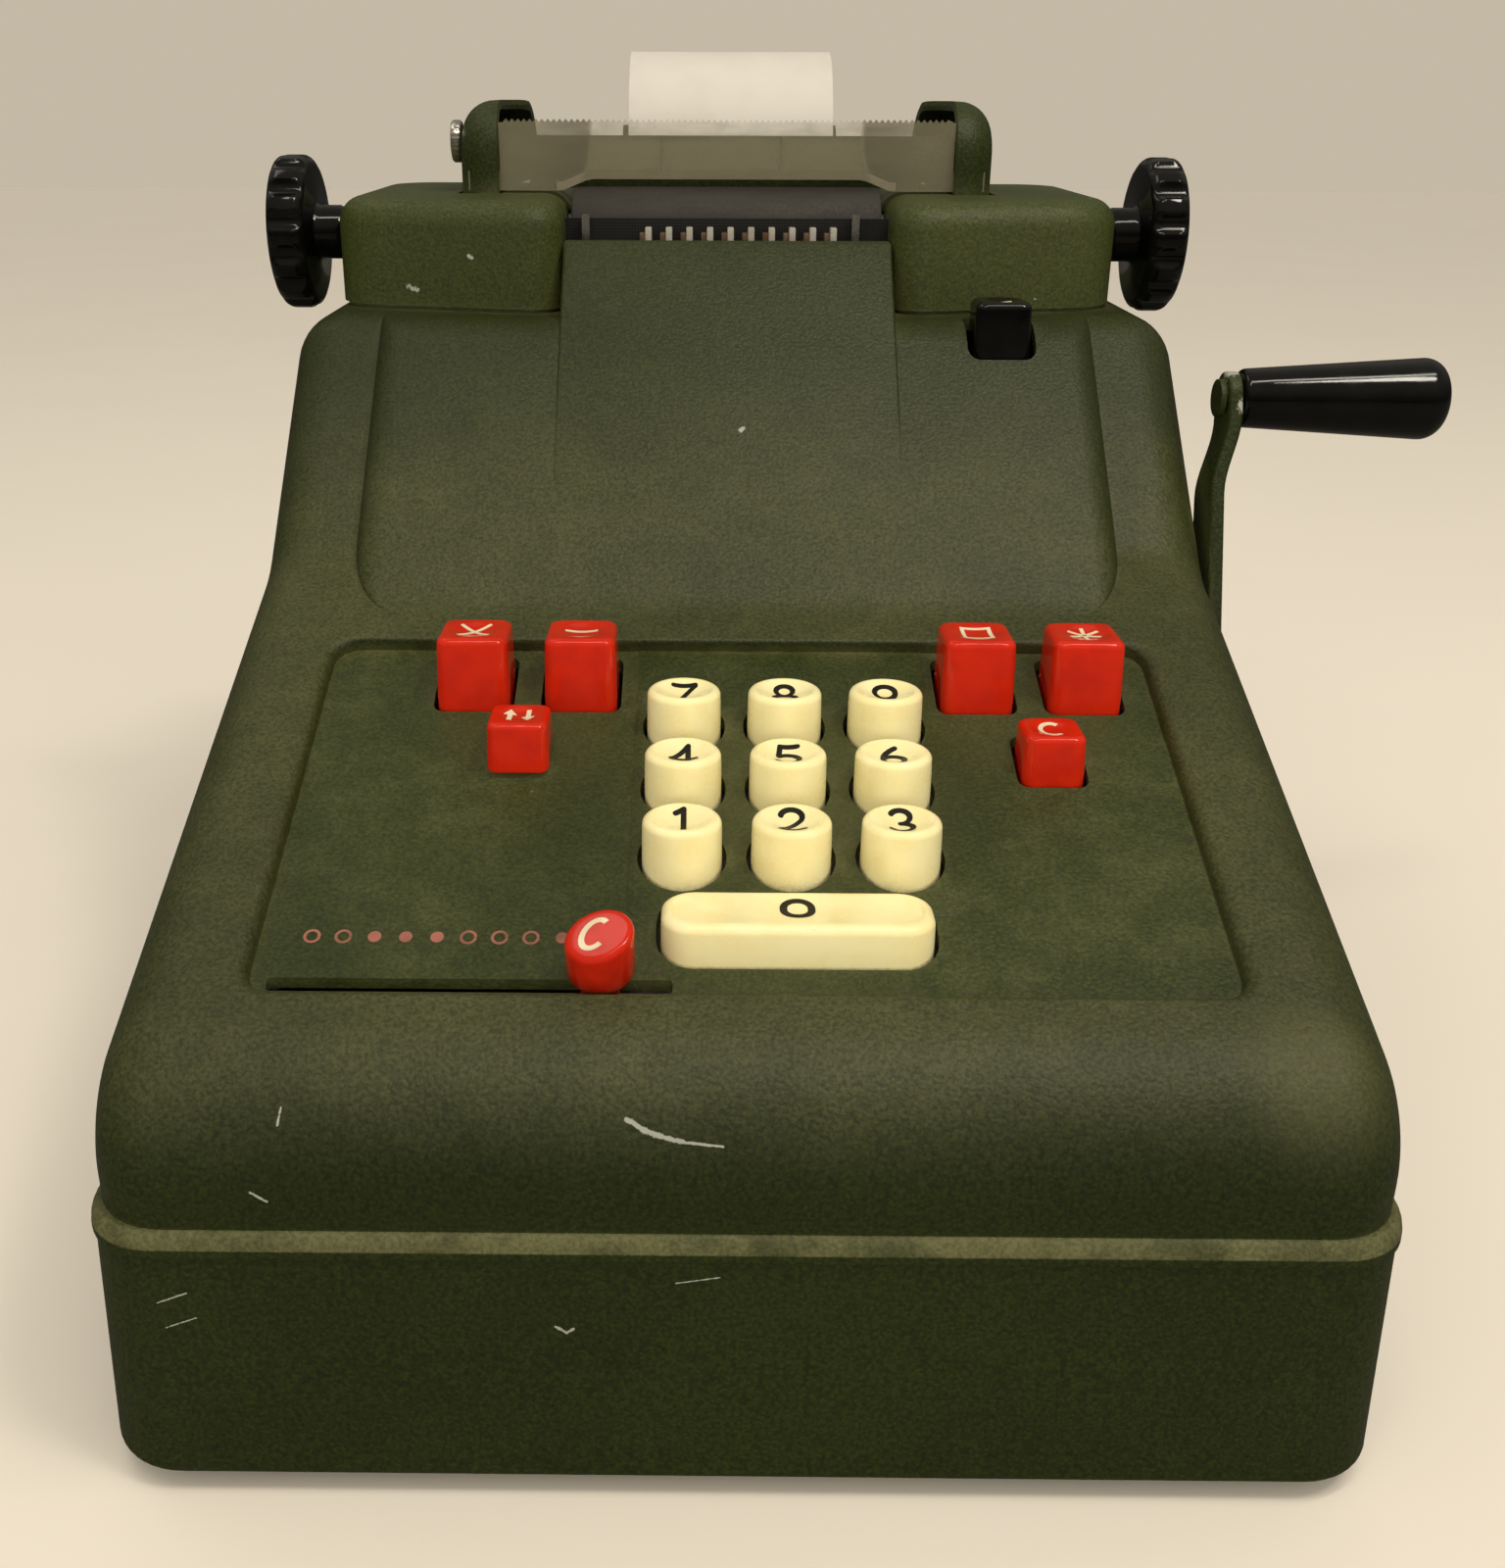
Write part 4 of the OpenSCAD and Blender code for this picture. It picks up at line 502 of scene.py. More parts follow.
def join(name, objs, sharp=34.0):
    bm = bmesh.new()
    for o in objs:
        bm.from_mesh(o.data)
    mesh = bpy.data.meshes.new(name)
    bm.to_mesh(mesh)
    bm.free()
    for o in objs:
        old = o.data
        bpy.data.objects.remove(o)
        bpy.data.meshes.remove(old)
    mesh.shade_smooth()
    mesh.set_sharp_from_angle(angle=math.radians(sharp))
    return link(name, mesh)


def prism(name, outline, place, low, high, sharp=34.0):
    """A polygon swept between two levels; place turns (u, v, level) into a point."""
    rings = [[place(u, v, level) for u, v in outline] for level in (low, high)]
    return loft(name, rings, sharp)


def upright(u, v, level):
    return (u, v, level)


def sideways(u, v, level):
    return (level, u, v)


def frontal(u, v, level):
    return (u, level, v)


def sloped(u, v, level):
    return (u, HF + v * math.cos(SLOPE) - level * math.sin(SLOPE),
            NOSE_H + v * math.sin(SLOPE) + level * math.cos(SLOPE))


def block(name, x0, x1, y0, y1, z0, z1):
    x0, x1 = sorted((x0, x1))
    return prism(name, [(x0, y0), (x1, y0), (x1, y1), (x0, y1)], upright, z0, z1)


def circle(u, v, d, n=48):
    turns = [2 * math.pi * k / n for k in range(n)]
    return [(u + d / 2 * math.cos(a), v + d / 2 * math.sin(a)) for a in turns]


def rod_x(name, x0, x1, y, z, d):
    return prism(name, circle(y, z, d), sideways, *sorted((x0, x1)))


def lathe(name, outline, place, n=64, sharp=34.0, loop=False):
    """Turns (radius, height) points about an axis; place turns (u, v, height) into a point."""
    least = 1e-4
    rings = [[place(u, v, h) for u, v in circle(0.0, 0.0, 2 * max(r, least), n)] for r, h in outline]
    return loft(name, rings, sharp, loop)


def arc(p, c, q, r, n):
    """Points that round the corner c on the way from p to q."""
    ha, hb = math.atan2(c[1] - p[1], c[0] - p[0]), math.atan2(q[1] - c[1], q[0] - c[0])
    d = (hb - ha + math.pi) % (2 * math.pi) - math.pi
    turn_r = r if d < 0 else -r
    back = r * math.tan(abs(d) / 2)
    u = c[0] - back * math.cos(ha) + turn_r * math.sin(ha)
    v = c[1] - back * math.sin(ha) - turn_r * math.cos(ha)
    headings = [ha + d * k / n for k in range(n + 1)]
    return [(u - turn_r * math.sin(a), v + turn_r * math.cos(a)) for a in headings]


def quarter(n, first=0):
    """How far a round of radius 1 still stands in from its two sides, in even steps over a quarter turn."""
    turns = [math.pi / 2 * k / n for k in range(first, n + 1)]
    return [(1 - math.cos(a), 1 - math.sin(a)) for a in turns]


def ease(t):
    """Smooth rise from 0 to 1, level past both."""
    t = min(1.0, max(0.0, t))
    return t * t * (3 - 2 * t)


def left_of(a, b):
    """Unit vector to the left of the way from a to b."""
    size = math.dist(a, b)
    return ((a[1] - b[1]) / size, (b[0] - a[0]) / size)


def rounded(points, radii, n=10):
    m, out = len(points), []
    for i in range(m):
        if radii[i] <= 0:
            out.append(points[i])
        else:
            out += arc(points[i - 1], points[i], points[(i + 1) % m], radii[i], n)
    return out


def rectangle(w, d, r, n=8, x=0.0, y=0.0):
    corners = [(-w / 2, -d / 2), (-w / 2, d / 2), (w / 2, d / 2), (w / 2, -d / 2)]
    return [(x + u, y + v) for u, v in rounded(corners, [r] * 4, n)]


def along(a, b, n):
    return [(a[0] + (b[0] - a[0]) * k / n, a[1] + (b[1] - a[1]) * k / n) for k in range(1, n)]


def dense(outline, gap):
    """The closed outline with its long edges split."""
    out = []
    for p, q in zip(outline, outline[1:] + outline[:1]):
        out += [p] + along(p, q, max(1, round(math.dist(p, q) / gap)))
    return out


def plate_z(y):
    _, y0, z0 = sloped(0, 0, PLATE_N)
    return z0 + (y - y0) * math.tan(SLOPE)


def depth(s):
    return sloped(0, s, PLATE_N)[1]


def piece(obj, mat, body, slot, *nodes):
    obj.data.materials.clear()
    obj.data.materials.append(mat)
    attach(obj, body)
    if nodes:
        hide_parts(*nodes)
    return obj


# Housing: rounded nose, keyboard slope, raised bonnet and deck

def meet(p, a, q, b):
    t = ((q[0] - p[0]) * b[1] - (q[1] - p[1]) * b[0]) / (a[0] * b[1] - a[1] * b[0])
    return (p[0] + t * a[0], p[1] + t * a[1])


def profile(o, foot, bottom):
    """Side profile set in by o, and the count of points before the waist."""
    a, b = (math.cos(SLOPE), math.sin(SLOPE)), (math.cos(STEEP), math.sin(STEEP))
    on_a = (HF + o * a[1], NOSE_H - o * a[0])
    run = (foot - LEDGE) / a[0]
    on_b = (HF + run * a[0] + o * b[1], NOSE_H + run * a[1] - o * b[0])
    p0, p5 = (HF + o, bottom), (HR - o, bottom)
    c1 = meet(p0, (0.0, 1.0), on_a, a)
    c2 = meet(on_a, a, on_b, b)
    c3 = meet(on_b, b, (0.0, DECK_H - o), (1.0, 0.0))
    c4 = (HR - o, DECK_H - o)
    nose, waist = arc(p0, c1, c2, NOSE_R - o, 26), arc(c1, c2, c3, WAIST_R + o, 16)
    shoulder, rear = arc(c2, c3, c4, SHOULDER_R - o, 16), arc(c3, c4, p5, REAR_R - o, 14)
    rows = [p0] + along(p0, nose[0], 5) + nose + along(nose[-1], waist[0], 14)
    before = len(rows)
    rows += waist + along(waist[-1], shoulder[0], 14) + shoulder + along(shoulder[-1], rear[0], 10)
    rows += rear + along(rear[-1], p5, 6) + [p5]
    return rows, before


def housing_form(name, wall, bottom):
    r, inner = SIDE_R - wall, (0.86, 0.68, 0.5, 0.33, 0.16)
    raised, before = profile(wall, BONNET_Y, bottom)
    flat = profile(wall, WAIST_Y, bottom)[0]
    sides = [(HW - SIDE_R + r * (1 - up), profile(wall + r * out, WAIST_Y, bottom)[0])
             for out, up in reversed(quarter(12))]
    rows, run = [], 0.0
    for i, top in enumerate(raised):
        if i > before:
            run += math.dist(top, raised[i - 1])
        back = BONNET_CORNER - min(run, BONNET_CORNER)
        edge = BONNET_EDGE - (BONNET_CORNER - math.sqrt(BONNET_CORNER ** 2 - back ** 2))
        half = [(x, *p[i]) for x, p in sides]
        for out, up in quarter(14):
            y, z = (a + (b - a) * (1 - up) for a, b in zip(flat[i], top))
            half.append((edge - BONNET_ROUND * out, y, z))
        half += [((edge - BONNET_ROUND) * t, *top) for t in inner]
        rows.append([(-x, y, z) for x, y, z in half] + [(0.0, *top)] + half[::-1])
    n, m = len(rows[0]), len(rows)
    faces = grid(n, m)
    faces.append(tuple(i * n for i in range(m)))
    faces.append(tuple(i * n + n - 1 for i in range(m))[::-1])
    faces.append(tuple(range(n))[::-1] + tuple(range((m - 1) * n, m * n)))
    return solid(name, [p for row in rows for p in row], faces, 30.0)


def lip_radius(u, v):
    """Round of the opening's lip: soft at the sides, tighter in front, near sharp at the back."""
    side, front, back = 3.0, 1.6, 1.1
    end = back if v > OPEN_FRONT + OPEN_LEN / 2 else front
    return end + (side - end) * ease((abs(u) - OPEN_HALF_W + OPEN_R) / OPEN_R)


def opening_lip():
    """The swept lip of the keyboard opening and the outline where it meets the slope."""
    edge = dense(rectangle(2 * OPEN_HALF_W, OPEN_LEN, OPEN_R, 10, 0.0, OPEN_FRONT + OPEN_LEN / 2), 8)
    rings, outline = [], []
    for i, p in enumerate(edge):
        out = left_of(edge[i - 1], edge[(i + 1) % len(edge)])
        r = lip_radius(*p)
        sweep = [(0.0, -WALL)] + [(r * a, -r * b) for a, b in quarter(8)] + [(r, -WALL)]
        rings.append([sloped(p[0] + o * out[0], p[1] + o * out[1], n) for o, n in sweep])
        outline.append((p[0] + r * out[0], p[1] + r * out[1]))
    return loft("lip", rings, 40.0, loop=True), outline


def bonnet_depth(z, n):
    run = (BONNET_Y - LEDGE) / math.cos(SLOPE)
    y = HF + run * math.cos(SLOPE) - n * math.sin(STEEP)
    return y + (z - NOSE_H - run * math.sin(SLOPE) - n * math.cos(STEEP)) / math.tan(STEEP)


BAND_BACK = bonnet_depth(BAND_TOP, BAND_PROUD) + 4.0
DECK_CUT_Y = BAND_BACK + 1.0
DECK_CUT_END = CHEEK_Y + 17.0


def housing():
    shell = housing_form("housing_shell", 0.0, BASE_H)
    hollow = housing_form("hollow", WALL, BASE_H - 1.0)
    lip, outline = opening_lip()
    opening = prism("opening", outline, sloped, -3 * WALL, 3 * WALL)
    room = RELEASE_W + 2 * KEY_ROOM + 1.0
    key_outline = rectangle(room, room, 3.0, 6, RELEASE_X, RELEASE_Y)
    key_hole = prism("key_hole", key_outline, upright, DECK_H - 40, DECK_H + 20)
    half = COVER_GAP / 2 + 3.0
    deck = block("deck", CARRIAGE_X - half, CARRIAGE_X + half, DECK_CUT_Y, DECK_CUT_END, DECK_H - 6, DECK_H + 3)
    shaft = rod_x("shaft", HW - 6, HW + 1, PIVOT_Y, PIVOT_Z, SHAFT_D + 8)
    cut(shell, hollow, opening, key_hole, deck, shaft, sharp=30.0)
    return piece(join("housing_shell", [shell, lip], 30.0), body_green, "machine", "green_paint", "housing")


def middle_band():
    """A band that rises smoothly out of the bonnet towards its top."""
    steps, sunk, under, low, half = 14, 0.04, -2.0, DECK_H - WALL, BAND_W / 2
    outline = []
    for t in (k / steps for k in range(steps + 1)):
        z = BAND_LOW + (BAND_TOP - BAND_LOW) * t
        outline.append((bonnet_depth(z, (BAND_PROUD + sunk) * ease(t) - sunk), z))
    outline += [(BAND_BACK, BAND_TOP), (BAND_BACK, low)]
    outline += [(bonnet_depth(z, under), z) for z in (low, BAND_LOW)]
    made = prism("middle_band", outline, sideways, CARRIAGE_X - half, CARRIAGE_X + half)
    return piece(bevel(made, 1.1, 4), body_green, "machine", "green_paint")


housing()
middle_band()


# Base pan with its rounded bead

def pan_ring(o, z):
    r = max(BASE_R - o, 1.0)
    return [(u, v, z) for u, v in rectangle(BASE_W - 2 * o, BASE_D - 2 * o, r, 12)]


def base_pan():
    flare, lean, low_r, bead_d, bead_h, shelf = -1.0, 0.6, 2.4, 1.8, 4.3, 7.3
    bead_low, side_low = BASE_H - 5.0, FOOT_H + low_r
    section = [(flare + low_r * b, FOOT_H + low_r * a) for a, b in quarter(6)]
    section += [(flare + (lean - flare) * t, side_low + (bead_low - side_low) * t) for t in (0.35, 0.7, 1.0)]
    section += [(0.2, bead_low + 0.1), (0.02, bead_low + 0.35)]
    section += [(bead_d * a, BASE_H - bead_h * b) for a, b in quarter(8)]
    section += [(shelf, BASE_H), (shelf, BASE_H - BASE_WALL), (lean + BASE_WALL, BASE_H - BASE_WALL),
                (BASE_WALL + flare, FOOT_H + BASE_WALL)]
    pan = loft("base_pan_shell", [pan_ring(o, z) for o, z in section], 32.0)
    foot_x, foot_y = BASE_W / 2 - 22.0, BASE_D / 2 - 22.0
    screw_x, screw_y = OPEN_HALF_W + PLATE_LAP + 4.5 - 8.0, BASE_D / 2 - 60.0
    tools = []
    for x, y, d in ((foot_x, foot_y, 12.1), (screw_x, screw_y, 5.1)):
        for u, v in ((-x, -y), (-x, y), (x, -y), (x, y)):
            tools.append(prism("hole", circle(u, v, d, 32), upright, FOOT_H - 2, FOOT_H + BASE_WALL + 2))
    cut(pan, join("holes", tools), sharp=32.0)
    return piece(pan, pan_green, "machine", "green_paint", "base_pan")


base_pan()


# Keyboard plate, its raised middle and the painted column marks

SLOT_S, SLOT_W, SLIDER_X, COLUMN, COLUMNS = OPEN_FRONT + 3.6, 3.0, -26.0, 5.8, 9
LEVER_X, LEVER_S = FUNC_MID - FUNC_IN - FUNC_STEP / 2, SMALL_S + 0.4
CLEAR_X = FUNC_MID + FUNC_IN + FUNC_STEP / 2 + 1.2
FUNC_X = {"repeat_key": FUNC_MID - FUNC_IN - FUNC_STEP, "minus_key": FUNC_MID - FUNC_IN,
          "subtotal_key": FUNC_MID + FUNC_IN, "total_key": FUNC_MID + FUNC_IN + FUNC_STEP}


def digit_place(number):
    col, row = (number - 1) % 3, (number - 1) // 3
    return KEYS_X + (col - 1) * PITCH_X, depth(ROW_S + row * PITCH_S)


def keyboard_plate():
    mid, low, high, corner = OPEN_FRONT + OPEN_LEN / 2, 60.0, 160.0, 2.5
    outline = rectangle(2 * (OPEN_HALF_W + PLATE_LAP), OPEN_LEN + 2 * PLATE_LAP, OPEN_R, 6, 0.0, mid)
    plate = prism("plate", outline, sloped, PLATE_N - PLATE_T, PLATE_N)
    outline = rectangle(63.0, 84.0, 2.0, 6, KEYS_X, 89.5)
    raised = bevel(prism("raised", outline, sloped, PLATE_N - 1.0, PLATE_N + 0.2), 0.18, 2)
    outlines = [circle(*digit_place(number), DIGIT_D + 2 * KEY_ROOM) for number in range(1, 10)]
    keys = [(ZERO_X, ZERO_S, ZERO_W, DIGIT_D, ZERO_R + KEY_ROOM), (CLEAR_X, SMALL_S, SMALL_W, SMALL_D, corner)]
    keys += [(x, FUNC_S, FUNC_W, FUNC_D, corner) for x in FUNC_X.values()]
    outlines += [rectangle(w + 2 * KEY_ROOM, d + 2 * KEY_ROOM, r, 8, x, depth(s)) for x, s, w, d, r in keys]
    x0, x1 = SLIDER_X - COLUMN * COLUMNS - 8.0, SLIDER_X + 13.0
    outlines.append(rectangle(x1 - x0, SLOT_W, 0.8, 4, (x0 + x1) / 2, depth(SLOT_S)))
    lever = rectangle(5.0, 11.0, 0.8, 4, LEVER_X, LEVER_S + 2.5)
    both = []
    for part in (plate, raised):
        holes = [prism("hole", outline, upright, low, high) for outline in outlines]
        both.append(cut(part, *holes, prism("hole", lever, sloped, -20.0, 10.0)))
    made = join("keyboard_plate_face", both)
    return piece(made, plate_green, "machine", "green_paint", "keyboard_plate")


keyboard_plate()


# Flat marks: filled outlines laid on a surface

def strokes(lines, width, round_ends=False):
    """Faces of strokes of even width along open lines."""
    points, faces, sides = [], [], 12
    for line in lines:
        for p in (line[0], line[-1]) if round_ends else ():
            faces.append(tuple(range(len(points), len(points) + sides)))
            points += circle(*p, width, sides)
        start, last = len(points), len(line) - 1
        for i, p in enumerate(line):
            u, v = (c * width / 2 for c in left_of(line[max(i - 1, 0)], line[min(i + 1, last)]))
            points += [(p[0] + u, p[1] + v), (p[0] - u, p[1] - v)]
        faces += [(a, a + 1, a + 3, a + 2) for a in range(start, start + 2 * last, 2)]
    return points, faces


def curve(u, v, ru, rv, start, end, n=20):
    steps = [math.radians(start + (end - start) * k / n) for k in range(n + 1)]
    return [(u + ru * math.cos(a), v + rv * math.sin(a)) for a in steps]


def straight(a, b, n=8):
    return [a] + along(a, b, n) + [b]


def laid(name, marks, surface, proud=0.10, thick=0.25):
    """Marks laid on a surface that gives a point for (u, v, height), with a little thickness."""
    points, flat = marks
    n = len(points)
    edges = dict.fromkeys(edge for f in flat for edge in zip(f, f[1:] + f[:1]))
    faces = flat + [tuple(n + i for i in reversed(f)) for f in flat]
    faces += [(b, a, n + a, n + b) for a, b in edges if (b, a) not in edges]
    return solid(name, [surface(u, v, h) for h in (proud, proud - thick) for u, v in points], faces)


def together(*groups):
    points, faces = [], []
    for more, more_faces in groups:
        start = len(points)
        points += more
        faces += [tuple(start + i for i in f) for f in more_faces]
    return points, faces


def column_marks():
    groups = []
    for i, kind in enumerate("oo...ooo."):
        u, v = -80.0 + COLUMN * i, 41.6
        if kind == "o":
            groups.append(strokes([curve(u, v, 1.35, 1.45, 0, 356, 28)], 0.55))
        else:
            ring = curve(u, v, 1.25, 1.35, 0, 345, 23)
            groups.append((ring, [tuple(range(len(ring)))]))
    made = laid("column_marks", together(*groups), lambda u, v, h: sloped(u, v, PLATE_N + h), 0.04, 0.1)
    return piece(made, mark_red, "machine", "red_plastic")


column_marks()


# Keys

COLLAR_ROOM = (STEM_D + 3) / 2 * math.tan(SLOPE) + 0.3


def stem_outline(y, cap_r):
    """Turned outline from under a cap down through the guide plate."""
    guide = plate_z(y) - (GUIDE_DEPTH + PLATE_T) / math.cos(SLOPE)
    top, r, collar = plate_z(y) - SKIRT, STEM_D / 2, guide - COLLAR_ROOM
    return [(0.0, guide - 9.5), (r - 0.4, guide - 9.5), (r, guide - 9.1), (r, collar - 1.5), (r + 1.5, collar - 1.5),
            (r + 1.5, collar), (r, collar), (r, top), (cap_r - 0.4, top), (cap_r, top + 0.4)]


def key_stem(x, y):
    outline = stem_outline(y, STEM_D / 2 + 0.4)
    return lathe("stem", outline + [(0.0, outline[-1][1])], lambda u, v, h: (x + u, y + v, h), 24)


def cap_dish(distance, well, deep):
    """Depth of a dished top, level at its rim."""
    return deep * max(0.0, 1 - (distance / well) ** 2) ** 1.3


NUMERALS = {
    1: [straight((-1.3, 2.5), (0.3, 3.6)), straight((0.3, 3.6), (0.3, -3.6))],
    2: [curve(0.0, 1.6, 2.1, 2.0, 170, -30), straight((1.82, 0.6), (-2.2, -3.5)), straight((-2.2, -3.5), (2.3, -3.5))],
    3: [curve(-0.1, 1.85, 1.9, 1.75, 155, -90), curve(-0.1, -1.75, 2.2, 1.85, 90, -155)],
    4: [straight((1.0, 3.6), (-2.4, -1.3)), straight((-2.4, -1.3), (2.5, -1.3)), straight((1.0, 3.6), (1.0, -3.6))],
    5: [straight((2.0, 3.5), (-1.5, 3.5)), straight((-1.5, 3.5), (-1.9, 0.3)), curve(-0.1, -1.3, 2.3, 2.3, 140, -150)],
    6: [curve(0.0, -1.4, 2.15, 2.2, 0, 360, 40), curve(2.2, -1.2, 4.35, 4.9, 180, 112)],
    7: [straight((-2.2, 3.5), (2.3, 3.5)), curve(5.0, -4.2, 5.6, 8.2, 118, 176)],
    8: [curve(0.0, 1.85, 1.75, 1.7, 0, 360, 36), curve(0.0, -1.75, 2.2, 1.9, 0, 360, 40)],
    9: [curve(0.0, 1.4, 2.15, 2.2, 0, 360, 40), curve(-2.2, 1.2, 4.35, 4.9, 0, -68)],
}


def digit_key(number):
    x, y = digit_place(number)
    top, r, round_r, well = plate_z(y) + DIGIT_RISE, DIGIT_D / 2, 1.5, 6.2
    outline = stem_outline(y, r) + [(r, plate_z(y) - 2.0), (r - 0.05, top - round_r - 2.0)]
    outline += [(r - 0.1 - round_r * (1 - math.cos(f)), top - round_r * (1 - math.sin(f)))
                for f in (math.pi / 2 * k / 8 for k in range(9))]
    outline += [(well * (1 - k / 16), top - cap_dish(well * (1 - k / 16), well, DISH)) for k in range(1, 17)]
    cap = lathe(f"key_{number}_cap", outline, lambda u, v, h: (x + u, y + v, h), 72)
    body = f"key_{number}_body"
    piece(cap, cream, body, "cream_plastic", f"key_{number}")
    shift = 1.2 if number < 4 else 0.4
    mark = laid(f"key_{number}_number", strokes(NUMERALS[number], 1.1, True), lambda u, v, h: (
        x + u, y + v + shift, top - cap_dish(math.hypot(u, v + shift), well, DISH) + h))
    piece(mark, ink, body, "black_plastic")


def slab_rings(x, y, base, rise, w, d, corner, round_r, dish, skirt):
    """Rings of a rounded cap: skirt, tapered sides, rounded top edge and a shallow dished top."""
    rings = []
    outline = dense(rectangle(w, d, corner, 7), w / 7)
    well = w / 2 * KEY_TAPER - round_r

    def ring(scale, inset, z, hollow=0.0):
        part = [(u * scale * (1 - 2 * inset / w), v * scale * (1 - 2 * inset / d)) for u, v in outline]
        rings.append([(x + u, y + v, z - cap_dish(math.hypot(u, v), well, hollow)) for u, v in part])
    ring(1.0, 0.4, base - skirt)
    ring(1.0, 0.0, base - skirt + 0.4)
    top = 1 - (1 - KEY_TAPER) * (rise - round_r) / rise
    for t in (0.0, 0.5, 1.0):
        ring(1 + (top - 1) * t, 0.0, base + t * (rise - round_r))
    for i in range(1, 9):
        f = math.pi / 2 * i / 8
        ring(top, round_r * (1 - math.cos(f)), base + rise - round_r * (1 - math.sin(f)))
    for i in range(1, 13):
        ring(top * max(1 - i / 12, 0.003), round_r, base + rise, dish)
    return rings


def slab_surface(x, y, base, rise, w, round_r, dish):
    """The dished top of a rounded cap as a surface to lay a mark on."""
    well = w / 2 * KEY_TAPER - round_r
    return lambda u, v, h: (x + u, y + v, base + rise - cap_dish(math.hypot(u, v), well, dish) + h)


def star(arms, r, width):
    return strokes([straight((0.5 * math.cos(a), 0.5 * math.sin(a)), (r * math.cos(a), r * math.sin(a)), 4)
                    for a in (math.pi / 2 + 2 * math.pi * k / arms for k in range(arms))], width)


CROSS = strokes([straight((-3.2, -3.6), (3.2, 3.6)), straight((-3.2, 3.6), (3.2, -3.6))], 0.85)
DASH = strokes([straight((-3.5, 0.6), (3.5, 0.6))], 0.85)
BOX = strokes([straight((-2.48, -3.2), (2.48, -3.2)), straight((2.9, -3.62), (2.9, 3.62)),
               straight((2.48, 3.2), (-2.48, 3.2)), straight((-2.9, 3.62), (-2.9, -3.62))], 0.85)
STAR = star(6, 3.7, 0.85)
RING_C = strokes([curve(0.0, 0.0, 2.3, 3.1, 52, 308, 30)], 0.95)
SQUARE_KEYS = (("repeat_key", CROSS), ("minus_key", DASH), ("subtotal_key", BOX), ("total_key", STAR), ("clear_key", RING_C))


def square_keys():
    for name, marks in SQUARE_KEYS:
        large = name in FUNC_X
        x, y = FUNC_X.get(name, CLEAR_X), depth(FUNC_S if large else SMALL_S)
        w, d, rise = (FUNC_W, FUNC_D, FUNC_RISE) if large else (SMALL_W, SMALL_D, SMALL_RISE)
        base, round_r = plate_z(y), 1.6 if large else 1.3
        cap = loft("cap", slab_rings(x, y, base, rise, w, d, 2.4, round_r, 0.8, SKIRT), 40.0)
        piece(join(name + "_cap", [cap, key_stem(x, y)]), red, name + "_body", "red_plastic", name)
        mark = laid(name + "_mark", marks, slab_surface(x, y, base, rise, w, round_r, 0.8))
        piece(mark, cream_ink, name + "_body", "cream_plastic")


def zero_key():
    y = depth(ZERO_S)
    base, half_d, round_r, dish = plate_z(y), DIGIT_D / 2, 1.8, 0.5
    rings = []

    def hollow(v):
        return cap_dish(v, half_d - round_r, dish)

    def ring(o, z, deep=False):
        outline = rectangle(ZERO_W - 2 * o, max(DIGIT_D - 2 * o, 0.06), max(min(ZERO_R - 0.5 * o, half_d - o - 0.01), 0.02), 12)
        rings.append([(ZERO_X + u, y + v, z - (hollow(v) if deep else 0.0)) for u, v in outline])
    ring(0.4, base - SKIRT)
    ring(0.0, base - SKIRT + 0.4)
    ring(0.0, base - 1.0)
    ring(0.05, base + ZERO_RISE - round_r)
    for i in range(1, 9):
        f = math.pi / 2 * i / 8
        ring(0.05 + round_r * (1 - math.cos(f)), base + ZERO_RISE - round_r * (1 - math.sin(f)))
    for o in (2.4, 3.0, 3.8, 4.6, 5.4, 6.2, 7.0, 7.77):
        ring(o, base + ZERO_RISE, True)
    cap = loft("cap", rings, 40.0)
    stems = [key_stem(ZERO_X + side * (ZERO_W / 2 - 9.0), y) for side in (-1, 1)]
    piece(join("key_0_cap", [cap] + stems), cream, "key_0_body", "cream_plastic", "key_0")
    loop = rectangle(5.2, 5.8, 2.5, 10)
    mark = laid("key_0_number", strokes([loop + loop[:1]], 1.4, True), lambda u, v, h: (
        ZERO_X + u, y + v + 0.6, base + ZERO_RISE - hollow(v + 0.6) + h))
    piece(mark, ink, "key_0_body", "black_plastic")


def release_key():
    rise, round_r = 18.0, 1.9
    base = RELEASE_TOP - rise
    cap = loft("cap", slab_rings(RELEASE_X, RELEASE_Y, base, rise, RELEASE_W, RELEASE_W, 2.4, round_r, 0.8, SKIRT), 40.0)
    low, r = 150.0, STEM_D / 2
    outline = [(0.0, low - 8.5), (r, low - 8.5), (r, low - 1.8), (r + 1.5, low - 1.8), (r + 1.5, low - 0.3), (r, low - 0.3),
               (r, base - SKIRT + 0.1), (0.0, base - SKIRT + 0.1)]
    stem = lathe("stem", outline, lambda u, v, h: (RELEASE_X + u, RELEASE_Y + v, h), 24)
    piece(join("release_key_cap", [cap, stem]), black, "release_key_body", "black_plastic", "release_key")
    points = [(-1.5, -1.2), (2.6, 0.9), (2.4, -1.0)]
    face = slab_surface(RELEASE_X, RELEASE_Y, base, rise, RELEASE_W, round_r, 0.8)
    mark = laid("release_key_mark", (points, [(0, 2, 1)]), face)
    piece(mark, cream_ink, "release_key_body", "cream_plastic")


